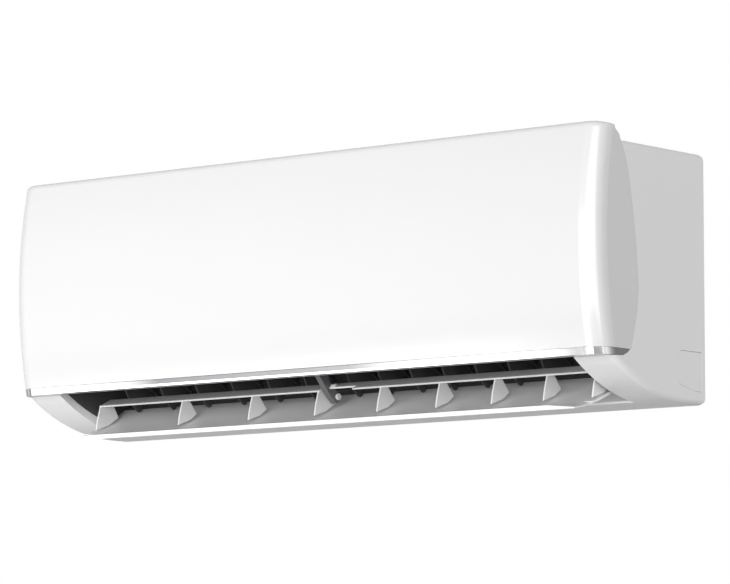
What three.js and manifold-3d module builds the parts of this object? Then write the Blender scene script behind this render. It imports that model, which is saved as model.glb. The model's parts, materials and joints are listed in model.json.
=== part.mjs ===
// Wall-mounted mini split indoor unit, modelled as the assembly of its real pieces.
// Millimetres. X runs along the unit, Z is up, and the room side faces -Y.
// Shapes are drawn in the side view as [depth from the wall, height above the casing bottom].
import * as THREE from 'three';
import { mergeVertices } from 'three/addons/utils/BufferGeometryUtils.js';
import Module from 'manifold-3d';

const wasm = await Module();
wasm.setup();

// ---------------------------------------------------------------- driving dimensions

// whole unit
const unitLength = 835;
const casingHeight = 270.3;
const casingBackRadius = 5; // rounding of the long edges against the wall
const casingEndRadius = 6; // rounding of the end faces' top and bottom edges
const casingWall = 2.5;
const fitGap = 0.3; // between pieces that touch
const runGap = 0.6; // between pieces that move past each other
const mountHeight = 150; // from the casing bottom up to the middle of the wall plate

// underside: flat against the wall, then one big arc up to the front
const undersideFlat = 30;
const undersideRadius = 248;
const undersideFrontZ = 42.5;

// front panel
const panelDepth = 199; // wall to the foremost point
const panelCrestZ = 168; // height of the foremost point
const panelRadius = 560; // crown of the front seen from the side
const panelTopZ = 287.7;
const panelTopFlat = 10; // level strip along the top edge
const panelTopRearDrop = 16.2; // how far the top falls towards its rear edge
const panelTopRound = 7;
const panelTopEndRound = 4; // how far the top falls at the panel's ends
const panelEndRadius = 22;
const panelWall = 2.8;
const panelBottomZ = 50.5;
const panelRearTopDepth = 150;
const panelRearMidDepth = 120.3; // the side return reaches furthest back here
const panelRearMidZ = 118;
const panelRearLowDepth = 133.5; // where the bright strip's tail ends
const panelRearLowZ = 53;
const panelHingeDepth = panelRearTopDepth + 13;
const panelHingeZ = 273;
const panelPinRadius = 2.5;
const panelArmInset = 24; // hinge ear, in from the unit's end
const hingeEarWidth = 4;
const hingeEarRadius = 5;

// bright strip under the panel
const stripBottomZ = 42.5;
const stripProud = 0.4;
const stripFlange = 10;
const tailLength = 16; // the tail turns up over this length
const tailLift = 0.9;
const tailBend = 4.4;

// front frame, air filters and intake grille
const frameFrontDepth = 175;
const frameKneeZ = 215; // above this the frame leans back to the top edge
const shoulderZ = 247; // the frame's top corners step back above this
const shoulderDepth = panelRearTopDepth - 14;
const shoulderInset = 18; // from the unit's ends
const railFrontDepth = 175.7;
const railTopZ = 64;
const windowLeft = -372;
const windowRight = 335;
const windowBottomZ = 92;
const windowTopZ = 240;
const mullionX = -18;
const mullionWidth = 14;
const filterLap = 6; // filter border over the window's edge
const filterBorder = 9;
const filterThickness = 2.4;
const filterNet = 0.8;
const filterRibs = 4;
const filterLedge = 4;
const filterLift = 8;
const grilleInset = 17; // from the unit's ends
const grilleRearDepth = 14;
const grilleFrontDepth = panelRearTopDepth - 16;
const grilleThickness = 1.9;
const grilleLedge = 3;
const grilleColumns = 8;
const grilleRows = 6;
const grilleBar = 5;
const topPlate = 3.5;

// air outlet
const outletWidth = 735;
const outletFrontDepth = 170.5;
const outletFlange = 9; // white edge round the outlet's ends
const ductWall = 2.5;

// cross-flow fan and the scroll behind it
const fanDepth = 88;
const fanZ = 125;
const fanRadius = 47.5;
const fanInnerRadius = 37;
const fanLeft = -352;
const fanRight = 294;
const fanBlades = 20;
const fanBladeThickness = 1.6;
const fanBladeLean = 26; // degrees
const fanDisc = 2.4;
const fanRings = 2; // between the end discs
const fanStubRadius = 4;
const scrollStartAngle = -35; // degrees below the rear of the fan
const scrollEndAngle = 43;
const scrollStartRadius = 56;
const scrollGrowth = 0.26;
const scrollRight = 300;

// drain pan, whose underside is the duct's upper wall
const panTongueDepth = 128;
const panTongueZ = 88;
const panFloorZ = 68;
const panWallTopZ = 90;
const panRight = 330;

// evaporator: three fin blocks around the fan
const coilLeft = -351;
const coilRight = 297;
const coilThickness = 24;
const coilFrontDepth = 154; // middle of the lower front block
const coilBottomZ = 82;
const coilKneeZ = 188;
const coilApexDepth = 92;
const coilApexZ = 252;
const coilRearDepth = 37;
const coilRearZ = 180;
const coilPlate = 1.2;
const bendRadius = 10;
const tubeRadius = 3.5;

// refrigerant pipes, in the channel behind the duct
const gasPipeRadius = 4.76;
const liquidPipeRadius = 3.175;
const pipeTurnRadius = 16;
const pipeDropX = 391;
const pipeDropDepth = 25;
const gasRunZ = 19;
const pipeEndX = 84;
const pipePitch = 16;
const nutLength = 22;

// rear casing and wall plate
const backWallDepth = 8;
const channelTopZ = 62;
const plateWidth = 640;
const plateBottom = -98; // from the middle of the plate
const plateTop = 98;
const plateThickness = 1.2;
const plateFlange = 6;
const plateHookSpacing = 420;
const plateHookWidth = 34;
const plateHookRise = 8;
const screwHoleRadius = 2.6;
const plateHoleXs = [60, 160, 270];

// fan motor and bearing
const motorRadius = 42;
const motorLeft = 304;
const motorLength = 52;
const motorShaftRadius = 4;
const clampWidth = 14;
const clampThickness = 3.5;
const bearingRadius = 8.7;
const bearingSeatRadius = 16.4;
const bearingWidth = 7;

// control box
const boxLeft = 374;
const boxRight = 409;
const boxRearDepth = 72;
const terminalDepth = 15;
const boxFrontDepth = frameFrontDepth - terminalDepth - 10;
const boxBottomZ = 102;
const boxTopZ = 242;
const boxWall = 2;
const boardThickness = 1.6;

// louver: a lower flap and an upper slat on ribs, turning on one axis
const louverDepth = 98;
const louverZ = 26;
const louverOpen = 43; // degrees from closed, as it stands here
const louverLength = 727;
const flapRearDepth = 68.5;
const flapThickness = 2.6;
const flapLip = 5;
const flapLipLength = 9;
const flapEndLength = 40; // the lip thins towards its ends over this length
const flapEndDepth = 28;
const flapEndEdge = 0.9;
const slatLeft = -351;
const slatRight = 362;
const slatWidth = 21;
const slatRise = 20; // above the flap's chord
const slatOffset = 32; // from the flap's rear edge
const slatThickness = 1.8;
const ribCount = 9;
const ribFirstX = -223; // next to the rib at the slat's left end
const ribFirstPitch = 105.05;
const ribPitchRatio = 0.9215; // each space between ribs is this much of the one before
const ribThickness = 1.8;
const ribDrawIn = 10; // the ribs that carry no pin are this much narrower
const louverPinRadius = 3;

// hook that carries the louver's middle
const hookX = -15;
const hookWidth = 7;
const hookEyeRadius = 7;
const hookEyeStart = 150; // degrees, where the eye leaves the arm's lower edge
const hookEyeEnd = 320;
const slatSetback = 8;
const slatSetbackEnd = 28;

// vertical vanes
const vaneGroups = [
  { first: -331, pitch: 54, count: 6 },
  { first: 1, pitch: 45, count: 7 },
];
const vaneFoot = 25; // pivot, along the duct wall from the end of the scroll
const vaneThickness = 1.6;
const vanePinRadius = 2;
const vaneCrank = 13;
const vaneCrankPinRadius = 1.3;
const vaneSwing = 30; // degrees each way
const barThickness = 2.2;
const barLift = 4.2; // above the duct wall
const barWidth = 8;
const crankX = -352;

// small stepper motors
const stepperRadius = 12;
const stepperLength = 19;
const stepperShaftRadius = 2.5;

// pipe covers in the end faces
const coverRearDepth = 6;
const coverFrontDepth = 52;
const coverBottomZ = 14;
const coverTopZ = 56;

// display and button behind the panel
const displayLeft = 150;
const displayRight = 232;
const displayZ = 72;
const buttonX = 262;
const buttonRadius = 5;
const buttonTravel = 1.5;

// ---------------------------------------------------------------- worked-out places

const halfLength = unitLength / 2;
const halfOutlet = outletWidth / 2;
const recessHalf = halfLength - panelWall - runGap; // the casing behind the panel's returns
const innerHalf = recessHalf - casingWall;
const undersideEndDepth = undersideFlat
  + Math.sqrt(undersideRadius ** 2 - (undersideRadius - undersideFrontZ) ** 2);

// ---------------------------------------------------------------- finishes

const finishes = {
  whitePlastic: { color: 0xf2f2f0, roughness: 0.42, metalness: 0 },
  panelPlastic: { color: 0xf8f8f7, roughness: 0.25, metalness: 0 },
  chrome: { color: 0xc9cacc, roughness: 0.12, metalness: 1 },
  darkPlastic: { color: 0x232425, roughness: 0.55, metalness: 0 },
  greyPlastic: { color: 0x55575a, roughness: 0.5, metalness: 0 },
  fins: { color: 0xb9c3c9, roughness: 0.4, metalness: 0.9 },
  copper: { color: 0xb56a41, roughness: 0.35, metalness: 1 },
  brass: { color: 0xb8954c, roughness: 0.35, metalness: 1 },
  steel: { color: 0xb4b7b9, roughness: 0.4, metalness: 0.9 },
  rubber: { color: 0x1b1b1c, roughness: 0.8, metalness: 0 },
  board: { color: 0x2c5a35, roughness: 0.5, metalness: 0 },
  net: { color: 0x9aa0a4, roughness: 0.7, metalness: 0 },
};

// ---------------------------------------------------------------- solids

const weldDistance = 1e-4;
const smallestDetail = 0.02;
const overshoot = 5; // how far a cutter runs past what it cuts

function toSolid(geometry) {
  const bare = geometry.clone();
  bare.deleteAttribute('normal');
  bare.deleteAttribute('uv');
  const welded = mergeVertices(bare, weldDistance);
  return new wasm.Manifold(new wasm.Mesh({
    numProp: 3,
    vertProperties: new Float32Array(welded.attributes.position.array),
    triVerts: new Uint32Array(welded.index.array),
  }));
}

function toGeometry(solid) {
  const mesh = solid.simplify(smallestDetail).getMesh();
  const geometry = new THREE.BufferGeometry();
  geometry.setAttribute('position', new THREE.BufferAttribute(mesh.vertProperties, 3));
  geometry.setIndex(new THREE.BufferAttribute(mesh.triVerts, 1));
  geometry.computeVertexNormals();
  return geometry;
}

function addPart(parent, name, solid, finish) {
  const mesh = new THREE.Mesh(toGeometry(solid), new THREE.MeshStandardMaterial(finishes[finish]));
  mesh.name = name;
  parent.add(mesh);
  return mesh;
}

function join(solids) {
  return solids.reduce((whole, piece) => whole.add(piece));
}

function cut(solid, cutters) {
  return cutters.reduce((rest, cutter) => rest.subtract(cutter), solid);
}

// points on an arc in the side view; angles in degrees, 0 towards the room, 90 up
function arc(depth, z, radius, from, to, steps) {
  return Array.from({ length: steps + 1 }, (_, i) => {
    const angle = THREE.MathUtils.degToRad(from + (to - from) * i / steps);
    return [depth + radius * Math.cos(angle), z + radius * Math.sin(angle)];
  });
}

// points on a smooth curve through a few places in the side view
function smooth(places, steps) {
  const curve = new THREE.SplineCurve(places.map(([depth, z]) => new THREE.Vector2(depth, z)));
  return curve.getPoints(steps).map((point) => [point.x, point.y]);
}

// a side-view outline drawn out along X
function prism(points, xMin, xMax) {
  const shape = new THREE.Shape(points.map(([depth, z]) => new THREE.Vector2(depth, z)));
  const geometry = new THREE.ExtrudeGeometry(shape, { depth: xMax - xMin, bevelEnabled: false });
  const sideView = new THREE.Matrix4().makeBasis(
    new THREE.Vector3(0, -1, 0),
    new THREE.Vector3(0, 0, 1),
    new THREE.Vector3(-1, 0, 0),
  );
  sideView.setPosition(xMax, 0, 0);
  return toSolid(geometry.applyMatrix4(sideView));
}

function box(xMin, xMax, dMin, dMax, zMin, zMax) {
  const geometry = new THREE.BoxGeometry(xMax - xMin, dMax - dMin, zMax - zMin);
  geometry.translate((xMin + xMax) / 2, -(dMin + dMax) / 2, (zMin + zMax) / 2);
  return toSolid(geometry);
}

function rod(xMin, xMax, depth, z, radius, sides = 16) {
  const geometry = new THREE.CylinderGeometry(radius, radius, xMax - xMin, sides);
  geometry.rotateZ(Math.PI / 2);
  geometry.translate((xMin + xMax) / 2, -depth, z);
  return toSolid(geometry);
}

// an upright or slanting pin, built on its own Z axis
function post(x, depth, zMin, zMax, radius, sides = 10) {
  const geometry = new THREE.CylinderGeometry(radius, radius, zMax - zMin, sides);
  geometry.rotateX(Math.PI / 2);
  geometry.translate(x, -depth, (zMin + zMax) / 2);
  return toSolid(geometry);
}

// a turned piece on an axis along X: profile of [x, radius] from one end to the other
function turned(profile, depth, z, sides) {
  const points = profile.map(([x, radius]) => new THREE.Vector2(radius, x));
  const geometry = new THREE.LatheGeometry(points, sides);
  geometry.rotateZ(-Math.PI / 2);
  geometry.translate(0, -depth, z);
  return toSolid(geometry);
}

// a skin through outlines at several places along X, closed at both ends
function loft(sections) {
  const positions = [];
  const triangles = [];
  const count = sections[0].points.length;
  for (const { x, points } of sections) {
    for (const [depth, z] of points) {
      positions.push(x, -depth, z);
    }
  }
  for (let s = 0; s + 1 < sections.length; s += 1) {
    for (let i = 0; i < count; i += 1) {
      const a = s * count + i;
      const b = s * count + (i + 1) % count;
      triangles.push(a, a + count, b, b, a + count, b + count);
    }
  }
  const contour = sections[0].points.map(([depth, z]) => new THREE.Vector2(depth, z));
  const lastStart = (sections.length - 1) * count;
  for (const [a, b, c] of THREE.ShapeUtils.triangulateShape(contour, [])) {
    triangles.push(a, b, c);
    triangles.push(lastStart + a, lastStart + c, lastStart + b);
  }
  const geometry = new THREE.BufferGeometry();
  geometry.setAttribute('position', new THREE.Float32BufferAttribute(positions, 3));
  geometry.setIndex(triangles);
  return toSolid(geometry);
}

// outlines from one end to the other, drawn in by a quarter round at both ends
function roundedEnds(outline, halfWidth, radius, steps) {
  const sections = [];
  for (let i = 0; i <= steps; i += 1) {
    const turn = (Math.PI / 2) * i / steps;
    const inset = radius * (1 - Math.sin(turn));
    const x = halfWidth - radius * (1 - Math.cos(turn));
    sections.push({ x, points: outline(inset) });
  }
  sections.sort((first, second) => first.x - second.x);
  const mirrored = sections.map(({ x, points }) => ({ x: -x, points })).reverse();
  return loft([...mirrored, ...sections]);
}

// ---------------------------------------------------------------- outlines of the casing

// the underside's height above the casing bottom, drawn in by a wall
function underside(inset, steps) {
  const endAngle = -90 + THREE.MathUtils.radToDeg(
    Math.asin((undersideEndDepth - undersideFlat) / undersideRadius),
  );
  return arc(undersideFlat, undersideRadius, undersideRadius - inset, -90, endAngle, steps);
}

function casingOutline(inset) {
  const backRound = Math.max(casingBackRadius - inset, 1);
  const low = inset + backRound;
  const high = casingHeight - inset - backRound;
  return [
    ...arc(backRound, low, backRound, -180, -90, 2),
    ...underside(inset, 10),
    [panelDepth, undersideFrontZ + inset],
    [panelDepth, casingHeight - inset],
    ...arc(backRound, high, backRound, 90, 180, 2),
  ];
}

// front of the panel at a height, drawn in by a wall
function panelFront(z, inset) {
  const radius = panelRadius - inset;
  return panelDepth - panelRadius + Math.sqrt(radius ** 2 - (z - panelCrestZ) ** 2);
}

// the panel's outline, drawn in by a wall and by the rounding of its ends
function panelOutline(wall, inset) {
  const endShare = inset / (panelEndRadius + 2 * stripProud);
  const topInset = wall + endShare * panelTopEndRound;
  const topRound = Math.max(panelTopRound - topInset, 1);
  const topZ = panelTopZ - topInset;
  const frontTopZ = topZ - topRound;
  const frontTop = panelFront(frontTopZ, wall + inset);
  const lowZ = stripBottomZ - overshoot;
  const rise = frontTopZ - lowZ;
  const frontSteps = 10;
  const front = Array.from({ length: frontSteps + 1 }, (_, i) => {
    const z = lowZ + rise * i / frontSteps;
    return [panelFront(z, wall + inset), z];
  });
  const flatEnd = panelFront(panelTopZ - panelTopRound, 0) - panelTopRound - panelTopFlat;
  const fall = flatEnd - panelRearTopDepth;
  return [
    [panelRearMidDepth - overshoot, lowZ],
    ...front,
    ...arc(frontTop - topRound, frontTopZ, topRound, 30, 90, 2),
    [frontTop - topRound - panelTopFlat * (1 - endShare), topZ],
    [flatEnd - fall * 0.45, topZ - panelTopRearDrop * 0.16],
    [flatEnd - fall * 0.8, topZ - panelTopRearDrop * 0.5],
    [panelRearTopDepth, topZ - panelTopRearDrop],
    [panelRearMidDepth - overshoot, topZ - panelTopRearDrop],
  ];
}

// rear edge of the panel's side return, from the strip's tail up to the top
function panelRearEdge(shift) {
  return smooth([
    [panelRearLowDepth + shift, panelRearLowZ],
    [panelRearMidDepth + shift, panelRearMidZ],
    [panelRearTopDepth - 15 + shift, casingHeight - 42],
    [panelRearTopDepth + shift, casingHeight],
  ], 9);
}

// lower edge of the strip on the end face, from the underside's end back to its tail
function stripTail(drop) {
  return [
    [undersideEndDepth, undersideFrontZ - drop],
    [panelRearLowDepth + tailLength, stripBottomZ + tailLift - drop],
    [panelRearLowDepth + tailLength / 2, stripBottomZ + tailBend - drop],
    [panelRearLowDepth, panelRearLowZ - drop],
  ];
}

// everything in front of the casing's skin: the panel and the strip
function frontRegion(shift, drop) {
  return prism([
    ...stripTail(drop),
    ...panelRearEdge(shift).slice(1),
    [panelRearTopDepth + shift, panelTopZ + overshoot],
    [panelDepth + overshoot, panelTopZ + overshoot],
    [panelDepth + overshoot, undersideFrontZ - drop],
  ], -halfLength - overshoot, halfLength + overshoot);
}

// inner side of the duct's rear wall: a spiral round the fan, then straight to the outlet
function scrollPlace(angleDegrees, offset) {
  const angle = THREE.MathUtils.degToRad(angleDegrees);
  const turn = THREE.MathUtils.degToRad(angleDegrees - scrollStartAngle);
  const radius = scrollStartRadius * Math.exp(scrollGrowth * turn) + offset;
  return [fanDepth - radius * Math.cos(angle), fanZ - radius * Math.sin(angle)];
}

const scrollEnd = scrollPlace(scrollEndAngle, 0);
const scrollEndTurn = THREE.MathUtils.degToRad(scrollEndAngle);
const flow = new THREE.Vector2(
  Math.sin(scrollEndTurn) - scrollGrowth * Math.cos(scrollEndTurn),
  -Math.cos(scrollEndTurn) - scrollGrowth * Math.sin(scrollEndTurn),
).normalize();
const acrossDuct = new THREE.Vector2(-flow.y, flow.x); // from the rear wall into the duct
const lipZ = casingWall + fitGap + 1.5;
const ductReach = (lipZ - scrollEnd[1]) / flow.y;

// a place in the duct: along the rear wall from the scroll's end, then off the wall
function ductPlace(along, off) {
  return [
    scrollEnd[0] + flow.x * along + acrossDuct.x * off,
    scrollEnd[1] + flow.y * along + acrossDuct.y * off,
  ];
}

function scrollLine(offset, steps) {
  return Array.from({ length: steps + 1 }, (_, i) => {
    const angle = scrollStartAngle + (scrollEndAngle - scrollStartAngle) * i / steps;
    return scrollPlace(angle, offset);
  });
}

// ---------------------------------------------------------------- casing pieces

function frontCasing() {
  const skin = roundedEnds(casingOutline, halfLength, casingEndRadius, 3)
    .subtract(frontRegion(-fitGap, fitGap));
  const recess = prism([
    [panelRearMidDepth - 20, casingHeight - topPlate],
    [panelRearMidDepth - 20, railTopZ],
    ...underside(1, 10).filter(([depth]) => depth > panelRearMidDepth - 10),
    [undersideEndDepth, undersideFrontZ + fitGap],
    [railFrontDepth, undersideFrontZ + fitGap],
    [railFrontDepth, railTopZ],
    [frameFrontDepth, railTopZ],
    [frameFrontDepth, frameKneeZ],
    [panelRearTopDepth - fitGap, casingHeight - topPlate],
  ], -recessHalf, recessHalf).intersect(behindPanel());
  const shoulderHalf = halfLength - shoulderInset;
  const shoulders = [-1, 1].map((side) => {
    const xs = [side * shoulderHalf, side * (halfLength + overshoot)];
    return box(Math.min(...xs), Math.max(...xs), 0, panelDepth, shoulderZ, casingHeight);
  });
  const hollowLow = (inset, front) => [
    [-overshoot, inset],
    ...underside(inset, 10).filter(([depth]) => depth < front - inset),
    [front, undersideFrontZ + inset],
    [front, railTopZ - casingWall],
    [frameFrontDepth - casingWall, railTopZ],
    [frameFrontDepth - casingWall, frameKneeZ - 1],
  ];
  const hollow = (inset, front) => [
    ...hollowLow(inset, front),
    [panelRearTopDepth - 3 * fitGap - casingWall, casingHeight - topPlate - casingWall],
    [panelRearTopDepth - 3 * fitGap - casingWall, casingHeight - topPlate],
    [-overshoot, casingHeight - topPlate],
  ];
  const cheekFront = outletFrontDepth - casingWall;
  const endHollow = [
    ...hollowLow(casingWall, cheekFront),
    [frameLean(shoulderZ - casingWall) - casingWall, shoulderZ - casingWall],
    [shoulderDepth, shoulderZ - casingWall],
    [shoulderDepth, casingHeight - topPlate],
    [-overshoot, casingHeight - topPlate],
  ];
  const cheek = halfOutlet + casingWall;
  const hollowHalf = shoulderHalf - casingWall;
  const body = cut(skin.add(cut(recess, shoulders)), [
    prism(hollow(outletFlange, outletFrontDepth), -hollowHalf, hollowHalf),
    prism(hollow(casingWall, cheekFront), -hollowHalf, -cheek),
    prism(hollow(casingWall, cheekFront), cheek, hollowHalf),
    prism(endHollow, -innerHalf, -hollowHalf + overshoot),
    prism(endHollow, hollowHalf - overshoot, innerHalf),
    box(-halfOutlet, halfOutlet, -overshoot, outletFrontDepth, -overshoot, railTopZ - casingWall),
    ...windowCutters(),
    ...topCutters(),
    ...endCutters(),
  ]);
  const ledge = filterLedge;
  const ledgeZ = windowBottomZ - filterLap - fitGap;
  const shelf = box(windowLeft, windowRight, frameFrontDepth - 1, frameFrontDepth + ledge,
    ledgeZ - casingWall, ledgeZ);
  return cut(join([body, shelf, ...hingeEars()]), [buttonHole()]);
}

// the room inside the panel, down to the underside
function behindPanel() {
  const wall = panelWall + runGap;
  const room = roundedEnds((inset) => panelOutline(wall, inset), recessHalf,
    panelEndRadius - panelWall, 4);
  return room
    .add(box(-halfLength, halfLength, 0, panelRearMidDepth + overshoot, 0, casingHeight))
    .add(box(-halfLength, halfLength, 0, undersideEndDepth, 0, undersideFrontZ));
}

function windowCutters() {
  const outline = [
    [frameFrontDepth - 20, windowBottomZ],
    [frameFrontDepth + overshoot, windowBottomZ],
    [frameFrontDepth + overshoot, frameKneeZ],
    [frameLean(windowTopZ) + overshoot, windowTopZ],
    [frameLean(windowTopZ) - 2 * overshoot, windowTopZ - overshoot],
    [frameFrontDepth - 20, frameKneeZ - overshoot],
  ];
  return [
    prism(outline, windowLeft, mullionX - mullionWidth / 2),
    prism(outline, mullionX + mullionWidth / 2, windowRight),
  ];
}

// depth of the leaning part of the frame at a height
function frameLean(z) {
  const share = (z - frameKneeZ) / (casingHeight - topPlate - frameKneeZ);
  return frameFrontDepth + (panelRearTopDepth - fitGap - frameFrontDepth) * share;
}

const grilleHalf = halfLength - grilleInset;

function topCutters() {
  const rebate = casingHeight - grilleThickness - fitGap;
  return [
    box(-grilleHalf, grilleHalf, grilleRearDepth, grilleFrontDepth, rebate,
      casingHeight + overshoot),
    box(-grilleHalf + grilleLedge, grilleHalf - grilleLedge, grilleRearDepth + grilleLedge,
      grilleFrontDepth - grilleLedge, casingHeight - 2 * topPlate, casingHeight),
  ];
}

// outline of a pipe cover, or of its hole
function coverOutline(grow) {
  const low = coverBottomZ - grow;
  const high = coverTopZ + grow;
  const front = coverFrontDepth + grow;
  const rear = coverRearDepth - grow;
  return [
    [rear, low],
    [rear + 12, low],
    [front - 5, low + 6],
    [front - 1, low + 11],
    [front, (low + high) / 2],
    [front - 2, high - 6],
    [front - 6, high - 1],
    [front - 10, high],
    [rear, high],
  ];
}

function endCutters() {
  return [-1, 1].map((side) => {
    const xs = [side * (halfLength - 3 * casingWall), side * (halfLength + overshoot)];
    return prism(coverOutline(fitGap), Math.min(...xs), Math.max(...xs));
  });
}

function pipeCover(side) {
  const outer = side * (halfLength - fitGap);
  const inner = side * (innerHalf + fitGap);
  return prism(coverOutline(0), Math.min(outer, inner), Math.max(outer, inner));
}

function hingeEars() {
  return [-1, 1].map((side) => {
    const middle = side * (halfLength - panelArmInset);
    const onFrame = (drop) => [frameLean(panelHingeZ - drop) - casingWall / 2, panelHingeZ - drop];
    const outline = [
      onFrame(52),
      [panelHingeDepth + hingeEarRadius, panelHingeZ - 20],
      ...arc(panelHingeDepth, panelHingeZ, hingeEarRadius, 0, 180, 8),
      [panelHingeDepth - 3, panelHingeZ - 9],
      [panelHingeDepth - 1.5, panelHingeZ - 14],
      [panelHingeDepth - 1, panelHingeZ - 22],
      onFrame(36),
    ];
    const ear = prism(outline, middle - hingeEarWidth / 2, middle + hingeEarWidth / 2);
    return ear.subtract(rod(middle - hingeEarWidth, middle + hingeEarWidth, panelHingeDepth,
      panelHingeZ, panelPinRadius + fitGap, 12));
  });
}

function buttonHole() {
  return postForward(buttonX, displayZ, frameFrontDepth - 2 * overshoot,
    frameFrontDepth + overshoot, buttonRadius - 1 + fitGap, 16);
}

// a pin that points into the room
function postForward(x, z, dMin, dMax, radius, sides = 16) {
  const geometry = new THREE.CylinderGeometry(radius, radius, dMax - dMin, sides);
  geometry.translate(x, -(dMin + dMax) / 2, z);
  return toSolid(geometry);
}

function intakeGrille() {
  const top = casingHeight;
  const bottom = top - grilleThickness;
  const left = -grilleHalf + fitGap;
  const rear = grilleRearDepth + fitGap;
  const plate = box(left, -left, rear, grilleFrontDepth - fitGap, bottom, top);
  const border = grilleLedge + grilleBar;
  const slotLength = (2 * (grilleHalf - border) + grilleBar) / grilleColumns;
  const slotWidth = (grilleFrontDepth - grilleRearDepth - 2 * border + grilleBar) / grilleRows;
  const slots = [];
  for (let column = 0; column < grilleColumns; column += 1) {
    for (let row = 0; row < grilleRows; row += 1) {
      const x = -grilleHalf + border + column * slotLength;
      const depth = grilleRearDepth + border + row * slotWidth;
      slots.push(box(x, x + slotLength - grilleBar, depth, depth + slotWidth - grilleBar,
        bottom - overshoot, top + overshoot));
    }
  }
  return plate.subtract(join(slots));
}

function rearCasing() {
  const end = innerHalf - fitGap;
  const back = backWallDepth;
  const wall = casingWall;
  const outer = ductWall + fitGap;
  const top = casingHeight - topPlate - fitGap;
  const backWall = [
    [back, channelTopZ],
    [back + wall, channelTopZ],
    [back + wall, top],
    [back, top],
  ];
  const seatTop = ductPlace(2, -outer);
  const seatLow = ductPlace(ductReach - 3, -outer);
  const section = [
    [back, channelTopZ],
    ductPlace(4, -outer - wall),
    ductPlace(ductReach - 8, -outer - wall),
    ...underside(wall, 10).filter(([depth]) => depth < seatLow[0] - 12).reverse(),
    [1, wall],
    [1, 1],
    [casingBackRadius, 0],
    [undersideFlat, 0],
    ...underside(0, 10).filter(([depth]) => depth > undersideFlat + 5 && depth < seatLow[0]),
    [seatLow[0], underSurface(seatLow[0])],
    seatLow,
    seatTop,
    [back + wall, channelTopZ + wall],
    [back, channelTopZ + wall],
  ];
  const middle = halfOutlet - fitGap;
  const [coilFoot, coilToe] = [coilOutline('rear', 0)[1], coilOutline('rear', 0)[2]];
  const trough = [
    [back + wall - 1, coilRearZ - 18],
    [coilFoot[0], coilRearZ - 19.5],
    [coilToe[0], coilRearZ - 16.5],
    [coilToe[0] + 4.2, coilToe[1] - 3],
    [coilToe[0] + 2, coilToe[1] - 3],
    [coilToe[0] - 2, coilRearZ - 14.5],
    [coilFoot[0], coilRearZ - 17.5],
    [back + wall - 1, coilRearZ - 15.5],
  ];
  const body = join([
    prism(backWall, -end, end),
    prism(section, -middle, middle),
    prism(trough, coilLeft - 12, coilRight + 12),
  ]);
  return cut(body, [...hookPockets(), ...vaneMotorHole()]);
}

// height of the underside above the casing bottom
function underSurface(depth) {
  const run = Math.max(depth - undersideFlat, 0);
  return undersideRadius - Math.sqrt(undersideRadius ** 2 - run ** 2);
}

const hookZ = mountHeight + plateTop - 14;

function hookPockets() {
  return [-1, 1].map((side) => {
    const middle = side * plateHookSpacing / 2;
    const half = plateHookWidth / 2 + 2 * runGap;
    return box(middle - half, middle + half, backWallDepth - overshoot,
      backWallDepth + casingWall + overshoot, hookZ - plateHookRise,
      hookZ + plateThickness + fitGap);
  });
}

function wallPlate() {
  const low = mountHeight + plateBottom;
  const high = mountHeight + plateTop;
  const half = plateWidth / 2;
  const t = plateThickness;
  const front = backWallDepth - fitGap;
  const sheet = box(-half, half, 0, t, low, high);
  const rib = (z) => box(-half + 20, half - 20, t - fitGap, plateFlange, z, z + t);
  const hooks = [-1, 1].map((side) => {
    const middle = side * plateHookSpacing / 2;
    const x0 = middle - plateHookWidth / 2;
    const x1 = middle + plateHookWidth / 2;
    const reach = backWallDepth + casingWall + fitGap;
    return join([
      box(x0, x1, t - fitGap, reach + t, hookZ, hookZ + t),
      box(x0, x1, reach, reach + t, hookZ, hookZ + plateHookRise),
    ]);
  });
  const pads = [-1, 1].map((side) => box(side * 250 - 15, side * 250 + 15, t - fitGap, front,
    low, low + t));
  const holes = [];
  for (const x of plateHoleXs.flatMap((reach) => [-reach, reach])) {
    for (const z of [low + 22, high - 32]) {
      holes.push(postForward(x, z, -overshoot, overshoot, screwHoleRadius, 16));
    }
  }
  return cut(join([sheet, rib(high - 1.2), rib(low + 46), rib(mountHeight + 20), ...pads,
    ...hooks]), holes);
}

function frontPanel() {
  const outer = roundedEnds((inset) => panelOutline(0, inset), halfLength, panelEndRadius, 6);
  const inner = roundedEnds((inset) => panelOutline(panelWall, inset), halfLength - panelWall,
    panelEndRadius - panelWall, 5);
  const region = frontRegion(0, 0);
  const above = box(-halfLength - overshoot, halfLength + overshoot, 0, panelDepth + overshoot,
    panelBottomZ, panelTopZ + overshoot);
  const shell = outer.subtract(openRear(inner)).intersect(region).intersect(above);
  return join([shell, ...panelArms()]);
}

// the hollow behind a skin runs out through its rear
function openRear(inner) {
  const room = panelRearMidDepth + overshoot;
  return inner.add(box(-halfLength + panelWall, halfLength - panelWall, 0, room,
    0, panelTopZ - panelWall - panelTopRearDrop));
}

function panelArms() {
  return [-1, 1].map((side) => {
    const ear = side * (halfLength - panelArmInset);
    const face = ear - side * (hingeEarWidth / 2 + runGap);
    const far = face - side * 3;
    const plate = prism([
      [panelHingeDepth - 4, panelHingeZ - 3],
      [panelHingeDepth + 5, panelHingeZ - 3],
      [panelHingeDepth + 8, panelTopZ - panelWall - 2],
      [panelHingeDepth + 6, panelTopZ - 3],
      [panelHingeDepth, panelTopZ - 6],
      [panelHingeDepth - 4, panelHingeZ + 7],
    ], Math.min(face, far), Math.max(face, far));
    const tip = ear + side * (hingeEarWidth / 2);
    return plate.add(rod(Math.min(far, tip), Math.max(far, tip), panelHingeDepth, panelHingeZ,
      panelPinRadius, 12));
  });
}

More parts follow.
